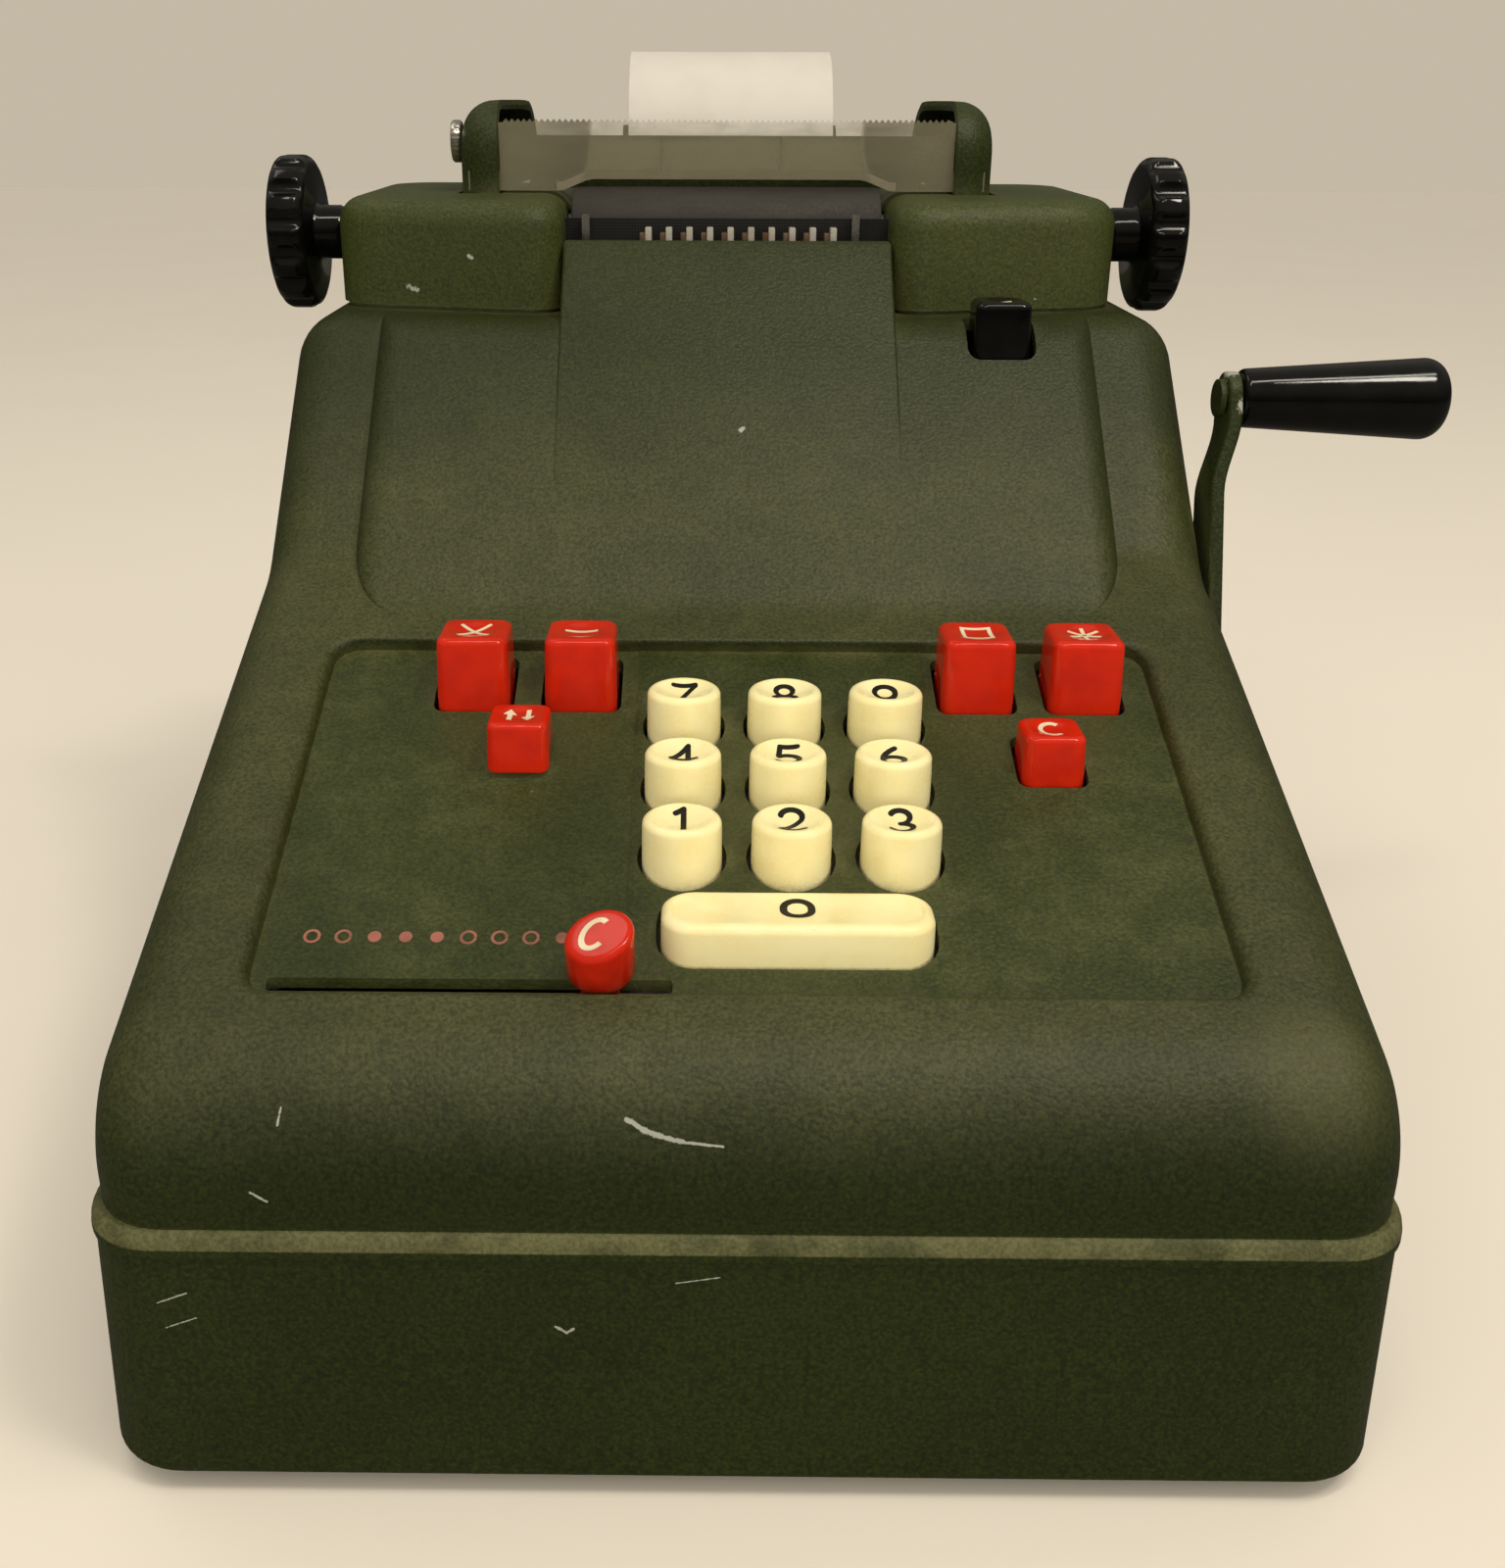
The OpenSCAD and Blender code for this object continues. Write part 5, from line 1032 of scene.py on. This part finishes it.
def two_way_lever():
    y, gap, rise, round_r, dish = depth(LEVER_S), 1.4, 9.6, 1.3, 0.6
    base = plate_z(y)
    cap = loft("cap", slab_rings(LEVER_X, y, base, rise, SMALL_W, SMALL_D, 2.0, round_r, dish, gap + 1.0), 40.0)
    under = prism("under", [(LEVER_X - 20, LEVER_S - 20), (LEVER_X + 20, LEVER_S - 20), (LEVER_X + 20, LEVER_S + 20),
                            (LEVER_X - 20, LEVER_S + 20)], sloped, PLATE_N - 20, PLATE_N + gap)
    cap = bevel(cut(cap, under, sharp=40.0), 0.35, 2, 60.0)
    low = PLATE_N - PLATE_T - 0.35
    stem = prism("stem", rectangle(4.0, 4.0, 0.4, 3, LEVER_X, LEVER_S), sloped, low - 1.5, PLATE_N + 2 * gap)
    foot = prism("foot", rectangle(8.0, 8.0, 0.6, 3, LEVER_X, LEVER_S), sloped, low - 1.5, low)
    piece(join("two_way_lever_cap", [cap, stem, foot]), red, "lever", "red_plastic", "two_way_lever")

    def arrow(u, way):
        tip, tail, head = 2.9 * way, -2.7 * way, 0.7 * way
        shaft = strokes([straight((u, tail), (u, head), 4)], 1.0)
        return together(shaft, ([(u - 1.35, head), (u + 1.35, head), (u, tip)], [(0, 1, 2) if way > 0 else (0, 2, 1)]))
    face = slab_surface(LEVER_X, y, base, rise, SMALL_W, round_r, dish)
    piece(laid("two_way_lever_mark", together(arrow(-1.9, 1), arrow(1.9, -1)), face), cream_ink, "lever", "cream_plastic")


def column_slider():
    d, height, gap, tilt = 12.6, 9.8, 0.8, math.tan(math.radians(15.0))
    r, round_r, low, s = d / 2, 1.3, PLATE_N + gap, OPEN_FRONT + d / 2 + 0.5
    outline = [(0.0, low), (r - 0.9, low), (r - 0.35, low + 0.25), (r, low + 0.9), (r, low + height - round_r)]
    outline += [(r - round_r * (1 - math.cos(f)), low + height - round_r * (1 - math.sin(f)))
                for f in (math.pi / 2 * k / 8 for k in range(1, 9))]
    outline += [((r - round_r) * (1 - k / 8), low + height) for k in range(1, 9)]
    knob = lathe("knob", outline, lambda u, v, h: sloped(SLIDER_X + u, s + v, h + u * tilt * (h - low) / height), 72, 40.0)
    y = depth(SLOT_S)
    rail_y, rail_z = y - 2.0, plate_z(y) - 17.0
    blade = bevel(block("blade", SLIDER_X - 3.5, SLIDER_X + 3.5, y - 0.9, y + 0.9, rail_z, plate_z(y) + 3.0), 0.25, 2)
    carriage = block("carriage", SLIDER_X - 13.0, SLIDER_X + 13.0, rail_y - 6.0, rail_y + 6.0, rail_z - 6.0, rail_z + 6.0)
    carriage = bevel(cut(carriage, rod_x("bore", SLIDER_X - 20, SLIDER_X + 20, rail_y, rail_z, 6.12)), 0.6, 2, 50.0)
    piece(join("column_slider_knob", [knob, blade, carriage]), red, "slider", "red_plastic", "column_slider")
    marks = strokes([[(u * 0.95 + v * 0.2 - 0.8, v) for u, v in curve(0.0, 0.0, 2.4, 3.2, 48, 312, 30)]], 1.1)
    mark = laid("column_slider_mark", marks, lambda u, v, h: sloped(SLIDER_X + u, s + v, low + height + u * tilt + h))
    piece(mark, cream_ink, "slider", "cream_plastic")


for number in range(1, 10):
    digit_key(number)
zero_key()
square_keys()
release_key()
two_way_lever()
column_slider()


# Carriage: covers, cheeks, window, platen with its knobs, paper, type and ribbon

BAR_Y, BAR_D, BAR_PITCH, BARS, TYPE_X = FRONT + 228.0, 4.0, 5.4, 10, CARRIAGE_X + 3.0
RIBBON_Y, RIBBON_Z, RIBBON_H, SPOOL_X = BAR_Y + BAR_D / 2 + 1.0, PLATEN_Z - 5.4, 10.4, COVER_GAP / 2 + 14.0


def cover_ring(o, z, side):
    w, small = COVER_HALF_W - COVER_GAP / 2, COVER_EDGE + 1.0
    rake = math.atan2(COVER_SWEEP, w)
    line = o / math.cos(rake)
    corners = [(o - w, (w - o) * math.tan(rake) + line), (o - w, COVER_D - o), (-o, COVER_D - o), (-o, o * math.tan(rake) + line)]
    ring = rounded(corners, [COVER_R - o, COVER_R - o, small - o, small - o], 12)
    x = CARRIAGE_X + side * COVER_GAP / 2
    return [(x - side * u, COVER_Y + v, z) for u, v in ring]


def cover_form(name, side, wall, low):
    edge = COVER_EDGE - wall
    steps = [(wall, low)] if wall else [(1.0, low), (1.0, low + 0.6), (0.0, low + 0.8)]
    steps.append((wall, low + 8.0))
    steps += [(wall + edge * (1 - math.cos(f)), COVER_TOP - wall - edge * (1 - math.sin(f)))
              for f in (math.pi / 2 * k / 10 for k in range(11))]
    return loft(name, [cover_ring(o, z, side) for o, z in steps], 32.0)


def carriage_cover(side, name):
    low, x = DECK_H + 0.05, CARRIAGE_X + side * COVER_GAP / 2
    shell = cover_form(name + "_shell", side, 0.0, low)
    hollow = cover_form("hollow", side, COVER_WALL, low - 1.0)
    far = CARRIAGE_X + side * (COVER_HALF_W + 2)
    shaft = rod_x("shaft", min(x - side, far), max(x - side, far), PLATEN_Y, PLATEN_Z, PLATEN_SHAFT + 2.0)
    ear = CARRIAGE_X + side * (CHEEK_HALF_W + 0.5)
    ear_in = ear - side * (CHEEK_RIM + 1.0)
    slot = block("slot", min(ear, ear_in), max(ear, ear_in), CHEEK_Y - 0.5, CHEEK_Y + CHEEK_D + 0.5, COVER_TOP - 12, COVER_TOP + 8)
    gap_in, gap_out = x - side * 1.0, x + side * (COVER_WALL + 1.0)
    ribbon = block("ribbon_gap", min(gap_in, gap_out), max(gap_in, gap_out), RIBBON_Y - 2.0, RIBBON_Y + 2.0,
                   RIBBON_Z - 1.0, RIBBON_Z + RIBBON_H + 1.0)
    cut(shell, hollow, shaft, slot, ribbon, sharp=32.0)
    return piece(shell, cover_green, "machine", "green_paint", name)


carriage_cover(-1, "left_carriage_cover")
carriage_cover(1, "right_carriage_cover")


def cheek_path(inset):
    low = DECK_H + 0.05
    y0, y1, top = CHEEK_Y + inset, CHEEK_Y + CHEEK_D - inset, CHEEK_TOP - inset
    front, rear = arc((y0, low), (y0, top), (y1, top), 14.0 - inset, 14), arc((y0, top), (y1, top), (y1, low), 28.0 - inset, 18)
    cover = (y0, COVER_TOP)
    return [(y0, low)] + along((y0, low), cover, 3) + [cover] + along(cover, front[0], 4) + front \
        + along(front[-1], rear[0], 4) + rear + along(rear[-1], (y1, COVER_TOP), 3) + [(y1, COVER_TOP)] \
        + along((y1, COVER_TOP), (y1, low), 3) + [(y1, low)]


def cheek(side, name):
    """A cheek bent from sheet: a rim along front, top and back, rolled into the flat side."""
    roll, t = 9.0, CHEEK_T
    base = cheek_path(0.0)
    outer, inner = [], []
    for f in (math.pi / 2 * k / 10 for k in range(11)):
        outer.append((CHEEK_HALF_W - roll + roll * math.sin(f), cheek_path(roll * (1 - math.cos(f)))))
        inner.append((CHEEK_HALF_W - roll + (roll - t) * math.sin(f), cheek_path(t + (roll - t) * (1 - math.cos(f)))))
    ins = cheek_path(t)
    rows = []
    for i, p in enumerate(base):
        share = min(1.0, max(0.0, (p[0] - CHEEK_Y - 22.0) / 14.0)) if p[1] > COVER_TOP + 0.5 else 0.0
        rim = CHEEK_RIM + (CHEEK_RIM_BACK - CHEEK_RIM) * share * share * (3 - 2 * share)
        x0 = CHEEK_HALF_W - rim
        row = [(x0 + 0.5, *p)] + [(x, *path[i]) for x, path in outer]
        back = [(x, *path[i]) for x, path in reversed(inner)] + [(x0 + 0.5, *ins[i])]
        mid = ((p[0] + ins[i][0]) / 2, (p[1] + ins[i][1]) / 2)
        rows.append(row + back + [(x0, *mid)])
    n, m, half = len(rows[0]), len(rows), 12
    points = [(CARRIAGE_X + side * x, y, z) for row in rows for x, y, z in row]
    faces = []
    for i in range(m - 1):
        for j in range(n):
            k = (j + 1) % n
            if j == half - 1:
                continue
            faces.append((i * n + j, i * n + k, (i + 1) * n + k, (i + 1) * n + j))
    faces.append(tuple(i * n + half - 1 for i in range(m)))
    faces.append(tuple(i * n + half for i in range(m))[::-1])
    for i in (0, m - 1):
        faces.append(tuple(i * n + j for j in range(n)))
    made = solid(name + "_sheet", points, faces, 36.0)
    x0, x1 = CARRIAGE_X + side * (CHEEK_HALF_W + 1), CARRIAGE_X + side * (CHEEK_HALF_W - CHEEK_RIM_BACK - 2)
    room = block("room", min(x0, x1), max(x0, x1), CHEEK_Y - 1, PLATEN_Y + PLATEN_SHAFT / 2 + 3, DECK_H - 1, COVER_TOP - 3.4)
    return piece(cut(made, room, sharp=36.0), cheek_green, "machine", "green_paint", name)


cheek(-1, "left_cheek")
cheek(1, "right_cheek")


def thumb_screw():
    x, y, z, r = CARRIAGE_X - CHEEK_HALF_W, CHEEK_Y + 14.0, CHEEK_TOP - 10.5, 5.5
    rings = []
    n = 96
    for radius, out in ((0.3, 2.2), (2.6, 2.4), (4.2, 3.0), (5.1, 2.9), (5.5, 2.4), (5.5, 0.7), (5.0, 0.2), (3.0, 0.0), (0.3, 0.0)):
        rings.append([])
        for k in range(n):
            a = 2 * math.pi * k / n
            knurl = radius - (0.16 * (0.5 + 0.5 * math.cos(24 * a)) if radius == r else 0.0)
            rings[-1].append((x - out, y + knurl * math.cos(a), z + knurl * math.sin(a)))
    return piece(loft("thumb_screw_head", rings, 40.0), nickel, "machine", "nickel", "cheek_thumb_screw")


thumb_screw()

WINDOW_Y, WINDOW_HALF = CHEEK_Y + CHEEK_T + 0.05, CHEEK_HALF_W - CHEEK_RIM - 0.05
LOW_Z = COVER_TOP + 0.6
STEP_Z, STEP_X = LOW_Z + 3.0, COVER_GAP / 2


def lower_edge(u):
    """Height of the window's lower edge, which steps up over the platen."""
    t = min(1.0, max(0.0, (STEP_X + 2.0 - abs(u)) / 7.5))
    return LOW_Z + (STEP_Z - LOW_Z) * t


def tear_window():
    lug = CHEEK_HALF_W - CHEEK_T - 0.05
    teeth, tall = int(2 * WINDOW_HALF / TOOTH) - 1, 0.9
    top = [(-WINDOW_HALF, WINDOW_TOP - tall)]
    for i in range(teeth):
        u = -teeth * TOOTH / 2 + i * TOOTH
        top += [(u, WINDOW_TOP - tall), (u + TOOTH / 2, WINDOW_TOP)]
    top.append((WINDOW_HALF, WINDOW_TOP - tall))
    ends = [(WINDOW_HALF, LOW_Z + 5.0), (lug, LOW_Z + 5.0), (lug, LOW_Z)]
    under = [(u, lower_edge(u)) for u in (60.0 - 2.0 * k for k in range(61))]
    outline = top + ends + under + [(-u, v) for u, v in reversed(ends)]
    sheet = prism("tear_window_sheet", [(CARRIAGE_X + u, v) for u, v in outline], frontal, WINDOW_Y, WINDOW_Y + WINDOW_T)
    piece(sheet, clear_film, "machine", "celluloid", "tear_window")
    spans = [-46.0 + 92.0 * k / 46 for k in range(47)]
    strip = [(u, lower_edge(u) + 0.02) for u in spans] + [(u, lower_edge(u) + 2.3) for u in reversed(spans)]
    edge = prism("window_edge", [(CARRIAGE_X + u, v) for u, v in strip], frontal, WINDOW_Y - 0.35, WINDOW_Y - 0.02)
    piece(edge, edge_film, "machine", "celluloid")
    marks = [prism("line", rectangle(0.45, 9.0, 0.15, 2, x, 220.4), frontal, WINDOW_Y - 0.12, WINDOW_Y - 0.01)
             for x in (-19.5, 12.6)]
    piece(join("window_lines", marks), edge_film, "machine", "celluloid")


tear_window()


def platen():
    half = COVER_GAP / 2 - 1.0
    r, bore = PLATEN_D / 2, PLATEN_SHAFT / 2 + 0.05
    section = [(bore, -half), (r - 0.8, -half), (r - 0.25, -half + 0.2), (r, -half + 0.9), (r, half - 0.9), (r - 0.25, half - 0.2),
               (r - 0.8, half), (bore, half)]
    rings = [[(CARRIAGE_X + h, PLATEN_Y + q * math.cos(2 * math.pi * k / 96), PLATEN_Z + q * math.sin(2 * math.pi * k / 96))
              for k in range(96)] for q, h in section]
    piece(loft("platen_cover", rings, 40.0, loop=True), platen_rubber, "platen", "black_rubber", "platen_roller")
    for side, name in ((-1, "left_platen_knob"), (1, "right_platen_knob")):
        platen_knob(side, name)


def platen_knob(side, name):
    """A hand wheel with soft flutes, a shallow well in its face and a neck towards the cover."""
    r, neck, edge = KNOB_D / 2, KNOB_IN - COVER_HALF_W - 1.0, 3.2
    per, flute, sunk = 18, 3.0, 1.5
    n = KNOB_FLUTES * per
    outline = [(0.05, KNOB_T - 1.2), (6.0, KNOB_T - 1.2), (11.0, KNOB_T - 1.0), (13.5, KNOB_T - 0.3), (15.0, KNOB_T)]
    outline += [(r - edge + edge * math.sin(f), KNOB_T - edge + edge * math.cos(f)) for f in (math.pi / 2 * k / 7 for k in range(8))]
    outline += [(r - edge + edge * math.cos(f), edge - edge * math.sin(f)) for f in (math.pi / 2 * k / 7 for k in range(8))]
    outline += [(KNOB_NECK / 2 + 1.6, 0.0), (KNOB_NECK / 2 + 0.5, -0.4), (KNOB_NECK / 2, -1.4), (KNOB_NECK / 2, 1.0 - neck),
                (KNOB_NECK / 2 - 0.6, -neck), (PLATEN_SHAFT / 2 + 0.05, -neck), (PLATEN_SHAFT / 2 + 0.05, KNOB_T / 2), (0.05, KNOB_T / 2)]
    far = r + flute - sunk
    rings = []
    for q, h in outline:
        ring = []
        for k in range(n):
            a = 2 * math.pi * (k + 0.5) / n
            off = (a * KNOB_FLUTES / (2 * math.pi) + 0.5) % 1.0 - 0.5
            sin_a = math.sin(off * 2 * math.pi / KNOB_FLUTES)
            limit = 99.0
            if abs(far * sin_a) < flute:
                limit = far * math.cos(math.asin(sin_a)) - math.sqrt(flute ** 2 - (far * sin_a) ** 2)
            soft = 0.35
            held = q if limit > q + 2 else -soft * math.log(math.exp(-q / soft) + math.exp(-limit / soft))
            held = min(held, q)
            ring.append((CARRIAGE_X + side * (KNOB_IN + h), PLATEN_Y + held * math.sin(a), PLATEN_Z + held * math.cos(a)))
        rings.append(ring)
    return piece(loft(name + "_wheel", rings, 36.0, loop=False), black, "platen", "black_plastic", name)


platen()


def paper_roll():
    r, bore, half = ROLL_D / 2, 4.0, ROLL_W / 2
    n, turns = 96, 10
    section = [(bore, -half + 0.4), (bore + 1.6, -half + 0.4), (bore + 1.7, -half)]
    for k in range(1, turns + 1):
        q = bore + 1.7 + (r - bore - 2.2) * k / turns
        section += [(q - 0.35, -half), (q - 0.2, -half + 0.22), (q, -half)]
    section += [(r - 0.12, -half), (r, -half + 0.12)]
    section += [(q, -h) for q, h in reversed(section)]
    rings = [[(ROLL_X + h, ROLL_Y + q * math.cos(2 * math.pi * k / n), ROLL_Z + q * math.sin(2 * math.pi * k / n))
              for k in range(n)] for q, h in section]
    piece(loft("paper_roll_turns", rings, 40.0, loop=True), paper, "roll", "paper", "paper_roll")


paper_roll()


def type_heads():
    top, tall = PLATEN_Z + 3.0, 7.0
    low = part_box("type_bars")[0].z / MM
    bars, faces = [], []
    for i in range(BARS):
        x = TYPE_X + (i - (BARS - 1) / 2) * BAR_PITCH
        bars.append(bevel(block("bar", x - 1.2, x + 1.2, BAR_Y - 2.0, BAR_Y + 2.0, low, top - tall + 0.01), 0.2, 2))
        bars.append(bevel(block("flank", x - 1.6, x - 0.1, BAR_Y - 1.2, BAR_Y + 2.0, top - tall, top - 1.4), 0.2, 2))
        faces.append(bevel(block("face", x - 0.1, x + 1.6, BAR_Y - 2.0, BAR_Y + 2.0, top - tall, top), 0.3, 2))
    piece(join("type_bar_set", bars), type_brass, "type_bank", "type_metal", "type_bars")
    piece(join("type_faces", faces), type_steel, "type_bank", "type_metal")


type_heads()


def inked_ribbon():
    x0, x1, n, rows = CARRIAGE_X - SPOOL_X, CARRIAGE_X + SPOOL_X, 90, 6
    thick = 0.24
    points = []
    for t in (0.0, thick):
        for j in range(rows + 1):
            for i in range(n + 1):
                u = i / n
                wave = 0.035 * math.sin(u * 37.0 + 1.3 * j / rows) * math.sin(math.pi * u)
                points.append((x0 + (x1 - x0) * u, RIBBON_Y + 0.03 + t + wave, RIBBON_Z + RIBBON_H * j / rows))
    layer = (n + 1) * (rows + 1)
    faces = []
    for j in range(rows):
        for i in range(n):
            a = j * (n + 1) + i
            faces += [(a, a + 1, a + n + 2, a + n + 1), (layer + a + n + 1, layer + a + n + 2, layer + a + 1, layer + a)]
    rim = [i for i in range(n + 1)] + [j * (n + 1) + n for j in range(1, rows + 1)]
    rim += [rows * (n + 1) + i for i in range(n - 1, -1, -1)] + [j * (n + 1) for j in range(rows - 1, 0, -1)]
    for i, a in enumerate(rim):
        b = rim[(i + 1) % len(rim)]
        faces.append((b, a, a + layer, b + layer))
    made = solid("inked_ribbon", points, faces, 60.0)
    piece(made, ribbon_cloth, "machine", "ribbon_cloth", "ribbon")


inked_ribbon()


# Crank

def crank_point(x, v, w):
    """From the arm's own frame, pivot at the origin and eye straight above, to the row frame."""
    c, s = math.cos(CRANK_LEAN), math.sin(CRANK_LEAN)
    return (ARM_X + x, PIVOT_Y + v * c + w * s, PIVOT_Z - v * s + w * c)


def crank_arm():
    hub_d, eye_d = 24.0, 12.7
    rings = []
    for k in range(41):
        w = CRANK_LEN * k / 40
        t = min(1.0, max(0.0, (w / CRANK_LEN - 0.70) / 0.24))
        x = ARM_JOGGLE * t * t * (3 - 2 * t)
        half = (hub_d * 0.8 + (eye_d - hub_d * 0.8) * k / 40) / 2
        ring = rectangle(ARM_T, 2 * half, 0.9, 4, x + ARM_T / 2, 0.0)
        rings.append([crank_point(u, v, w) for u, v in ring])
    arm = loft("arm", rings, 50.0)

    def disc(name, d, x0, x1, w):
        r = d / 2
        outline = [(0.0, x0), (r - 0.7, x0), (r - 0.2, x0 + 0.2), (r, x0 + 0.7), (r, x1 - 0.7), (r - 0.2, x1 - 0.2), (r - 0.7, x1), (0.0, x1)]
        return lathe(name, outline, lambda u, v, h: crank_point(h, u, w + v), 64, 50.0)
    hub = disc("hub", hub_d, -1.0, ARM_T + 2.0, 0.0)
    eye = disc("eye", eye_d, ARM_JOGGLE, ARM_JOGGLE + ARM_T, CRANK_LEN)
    piece(join("crank_arm_bar", [arm, hub, eye], 50.0), arm_green, "crank", "green_paint", "crank_arm")


def crank_grip():
    bore, deep = PIN_D / 2 + 0.06, GRIP_LEN - 9.0 + 0.5
    x, y, z = GRIP_X, PIVOT_Y + CRANK_LEN * math.sin(CRANK_LEAN), PIVOT_Z + CRANK_LEN * math.cos(CRANK_LEAN)
    outline = [(0.05, deep), (bore, deep), (bore, 0.3), (bore + 0.3, 0.0), (GRIP_IN / 2 - 1.6, 0.0)]
    outline += arc((GRIP_IN / 2 - 2.5, 0.0), (GRIP_IN / 2, 0.0), (GRIP_IN / 2 + 0.5, 8.0), 1.4, 6)
    body = arc((GRIP_IN / 2, 0.0), (GRIP_OUT / 2, GRIP_LEN - 0.4), (3.0, GRIP_LEN), 5.2, 12)
    outline += along(outline[-1], body[0], 8) + body + [(3.0, GRIP_LEN - 0.05), (0.05, GRIP_LEN)]
    made = lathe("crank_grip_handle", outline, lambda u, v, h: (x + h, y + u, z + v), 80, 40.0)
    piece(made, black, "grip", "black_plastic", "crank_grip")


crank_arm()
crank_grip()


# Finishes of the solids that stay as they are

KEPT = (
    (foot_rubber, ("rubber_feet",)),
    (steel, ("case_screws", "key_guide_plate", "plate_posts", "left_side_frame", "right_side_frame", "tie_rods",
             "platen_shaft", "platen_bearings", "type_guide", "main_shaft", "drive_lever", "return_spring",
             "register_wheels", "slider_rail", "paper_spindle")),
    (arm_green, ("grip_pin",)),
    (nickel, ("ribbon_guides",)),
    (brass, ("shaft_bushes",)),
    (body_green, ("paper_table", "paper_arms")),
    (black, ("left_ribbon_spool", "right_ribbon_spool")),
)
for mat, names in KEPT:
    for name in names:
        data = frame["nodes"][name].data
        data.materials.clear()
        data.materials.append(mat)


# Floor, background and soft studio light

def floor():
    half, n = 4000.0, 8
    points = [(-half + 2 * half * i / n, -half + 2 * half * j / n, 0.0) for j in range(n + 1) for i in range(n + 1)]
    faces = [(j * (n + 1) + i, j * (n + 1) + i + 1, (j + 1) * (n + 1) + i + 1, (j + 1) * (n + 1) + i)
             for j in range(n) for i in range(n)]
    made = solid("floor", points, faces)
    s = Shader("floor", Roughness=0.7, Specular_IOR_Level=0.25)
    seen = s.mix(s.noise(6, 3.0), rgb(0.90, 0.83, 0.72), rgb(0.94, 0.87, 0.76))
    camera_ray = s.node("LightPath").outputs["Is Camera Ray"]
    glossy_ray = s.node("LightPath").outputs["Is Glossy Ray"]
    other = s.mix(glossy_ray, rgb(0.62, 0.58, 0.51), rgb(0.14, 0.13, 0.11))
    s.set(Base_Color=s.mix(camera_ray, other, seen))
    made.data.materials.append(s.mat)


def area_light(name, place, aim, width, height, power, tint):
    lamp = bpy.data.lights.new(name, "AREA")
    lamp.shape, lamp.size, lamp.size_y, lamp.energy, lamp.color = "RECTANGLE", width, height, power, tint
    made = bpy.data.objects.new(name, lamp)
    made.location = place
    made.rotation_euler = (Vector(aim) - Vector(place)).to_track_quat("-Z", "Y").to_euler()
    scene.collection.objects.link(made)


def world():
    made = bpy.data.worlds.new("studio")
    scene.world = made
    made.use_nodes = True
    tree = made.node_tree
    tree.nodes.clear()
    out = tree.nodes.new("ShaderNodeOutputWorld")
    soft, dim, seen = (tree.nodes.new("ShaderNodeBackground") for _ in range(3))
    way = tree.nodes.new("ShaderNodeTexCoord")
    split = tree.nodes.new("ShaderNodeSeparateXYZ")
    tree.links.new(way.outputs["Generated"], split.inputs[0])

    def spread(axis, start, end, low, high):
        rise = tree.nodes.new("ShaderNodeMapRange")
        rise.interpolation_type = "SMOOTHSTEP"
        for name, number in (("From Min", start), ("From Max", end), ("To Min", low), ("To Max", high)):
            rise.inputs[name].default_value = number
        tree.links.new(split.outputs[axis], rise.inputs["Value"])
        return rise.outputs[0]

    both = tree.nodes.new("ShaderNodeMath")
    tree.links.new(spread("Z", 0.0, 0.75, 0.80, 0.40), both.inputs[0])
    tree.links.new(spread("Y", -1.0, 0.0, 0.9, 0.0), both.inputs[1])
    for back, tint, strength in ((soft, rgb(1.0, 0.94, 0.83), both.outputs[0]),
                                 (dim, rgb(1.0, 0.92, 0.78), spread("Z", 0.0, 0.75, 0.04, 0.30))):
        tree.links.new(strength, back.inputs["Strength"])
        back.inputs["Color"].default_value = tint
    seen.inputs["Color"].default_value, seen.inputs["Strength"].default_value = rgb(0.55, 0.485, 0.378), 1.0
    path = tree.nodes.new("ShaderNodeLightPath")
    first, last = tree.nodes.new("ShaderNodeMixShader"), tree.nodes.new("ShaderNodeMixShader")
    for blend, ray, a, b in ((first, "Is Glossy Ray", soft, dim), (last, "Is Camera Ray", first, seen)):
        tree.links.new(path.outputs[ray], blend.inputs[0])
        tree.links.new(a.outputs[0], blend.inputs[1])
        tree.links.new(b.outputs[0], blend.inputs[2])
    tree.links.new(last.outputs[0], out.inputs[0])


floor()
world()
area_light("top_light", (0.15, -0.36, 1.30), (0.0, -0.05, 0.1), 1.2, 0.10, 4.4, (1.0, 0.93, 0.81))
area_light("key_light", (0.54, -0.44, 1.26), (0.05, -0.10, 0.1), 0.22, 0.22, 3.4, (1.0, 0.93, 0.81))
area_light("fill_light", (-0.60, 0.30, 1.25), (0.0, 0.05, 0.1), 0.5, 0.3, 0.8, (1.0, 0.95, 0.87))
scene.view_settings.view_transform = "Standard"
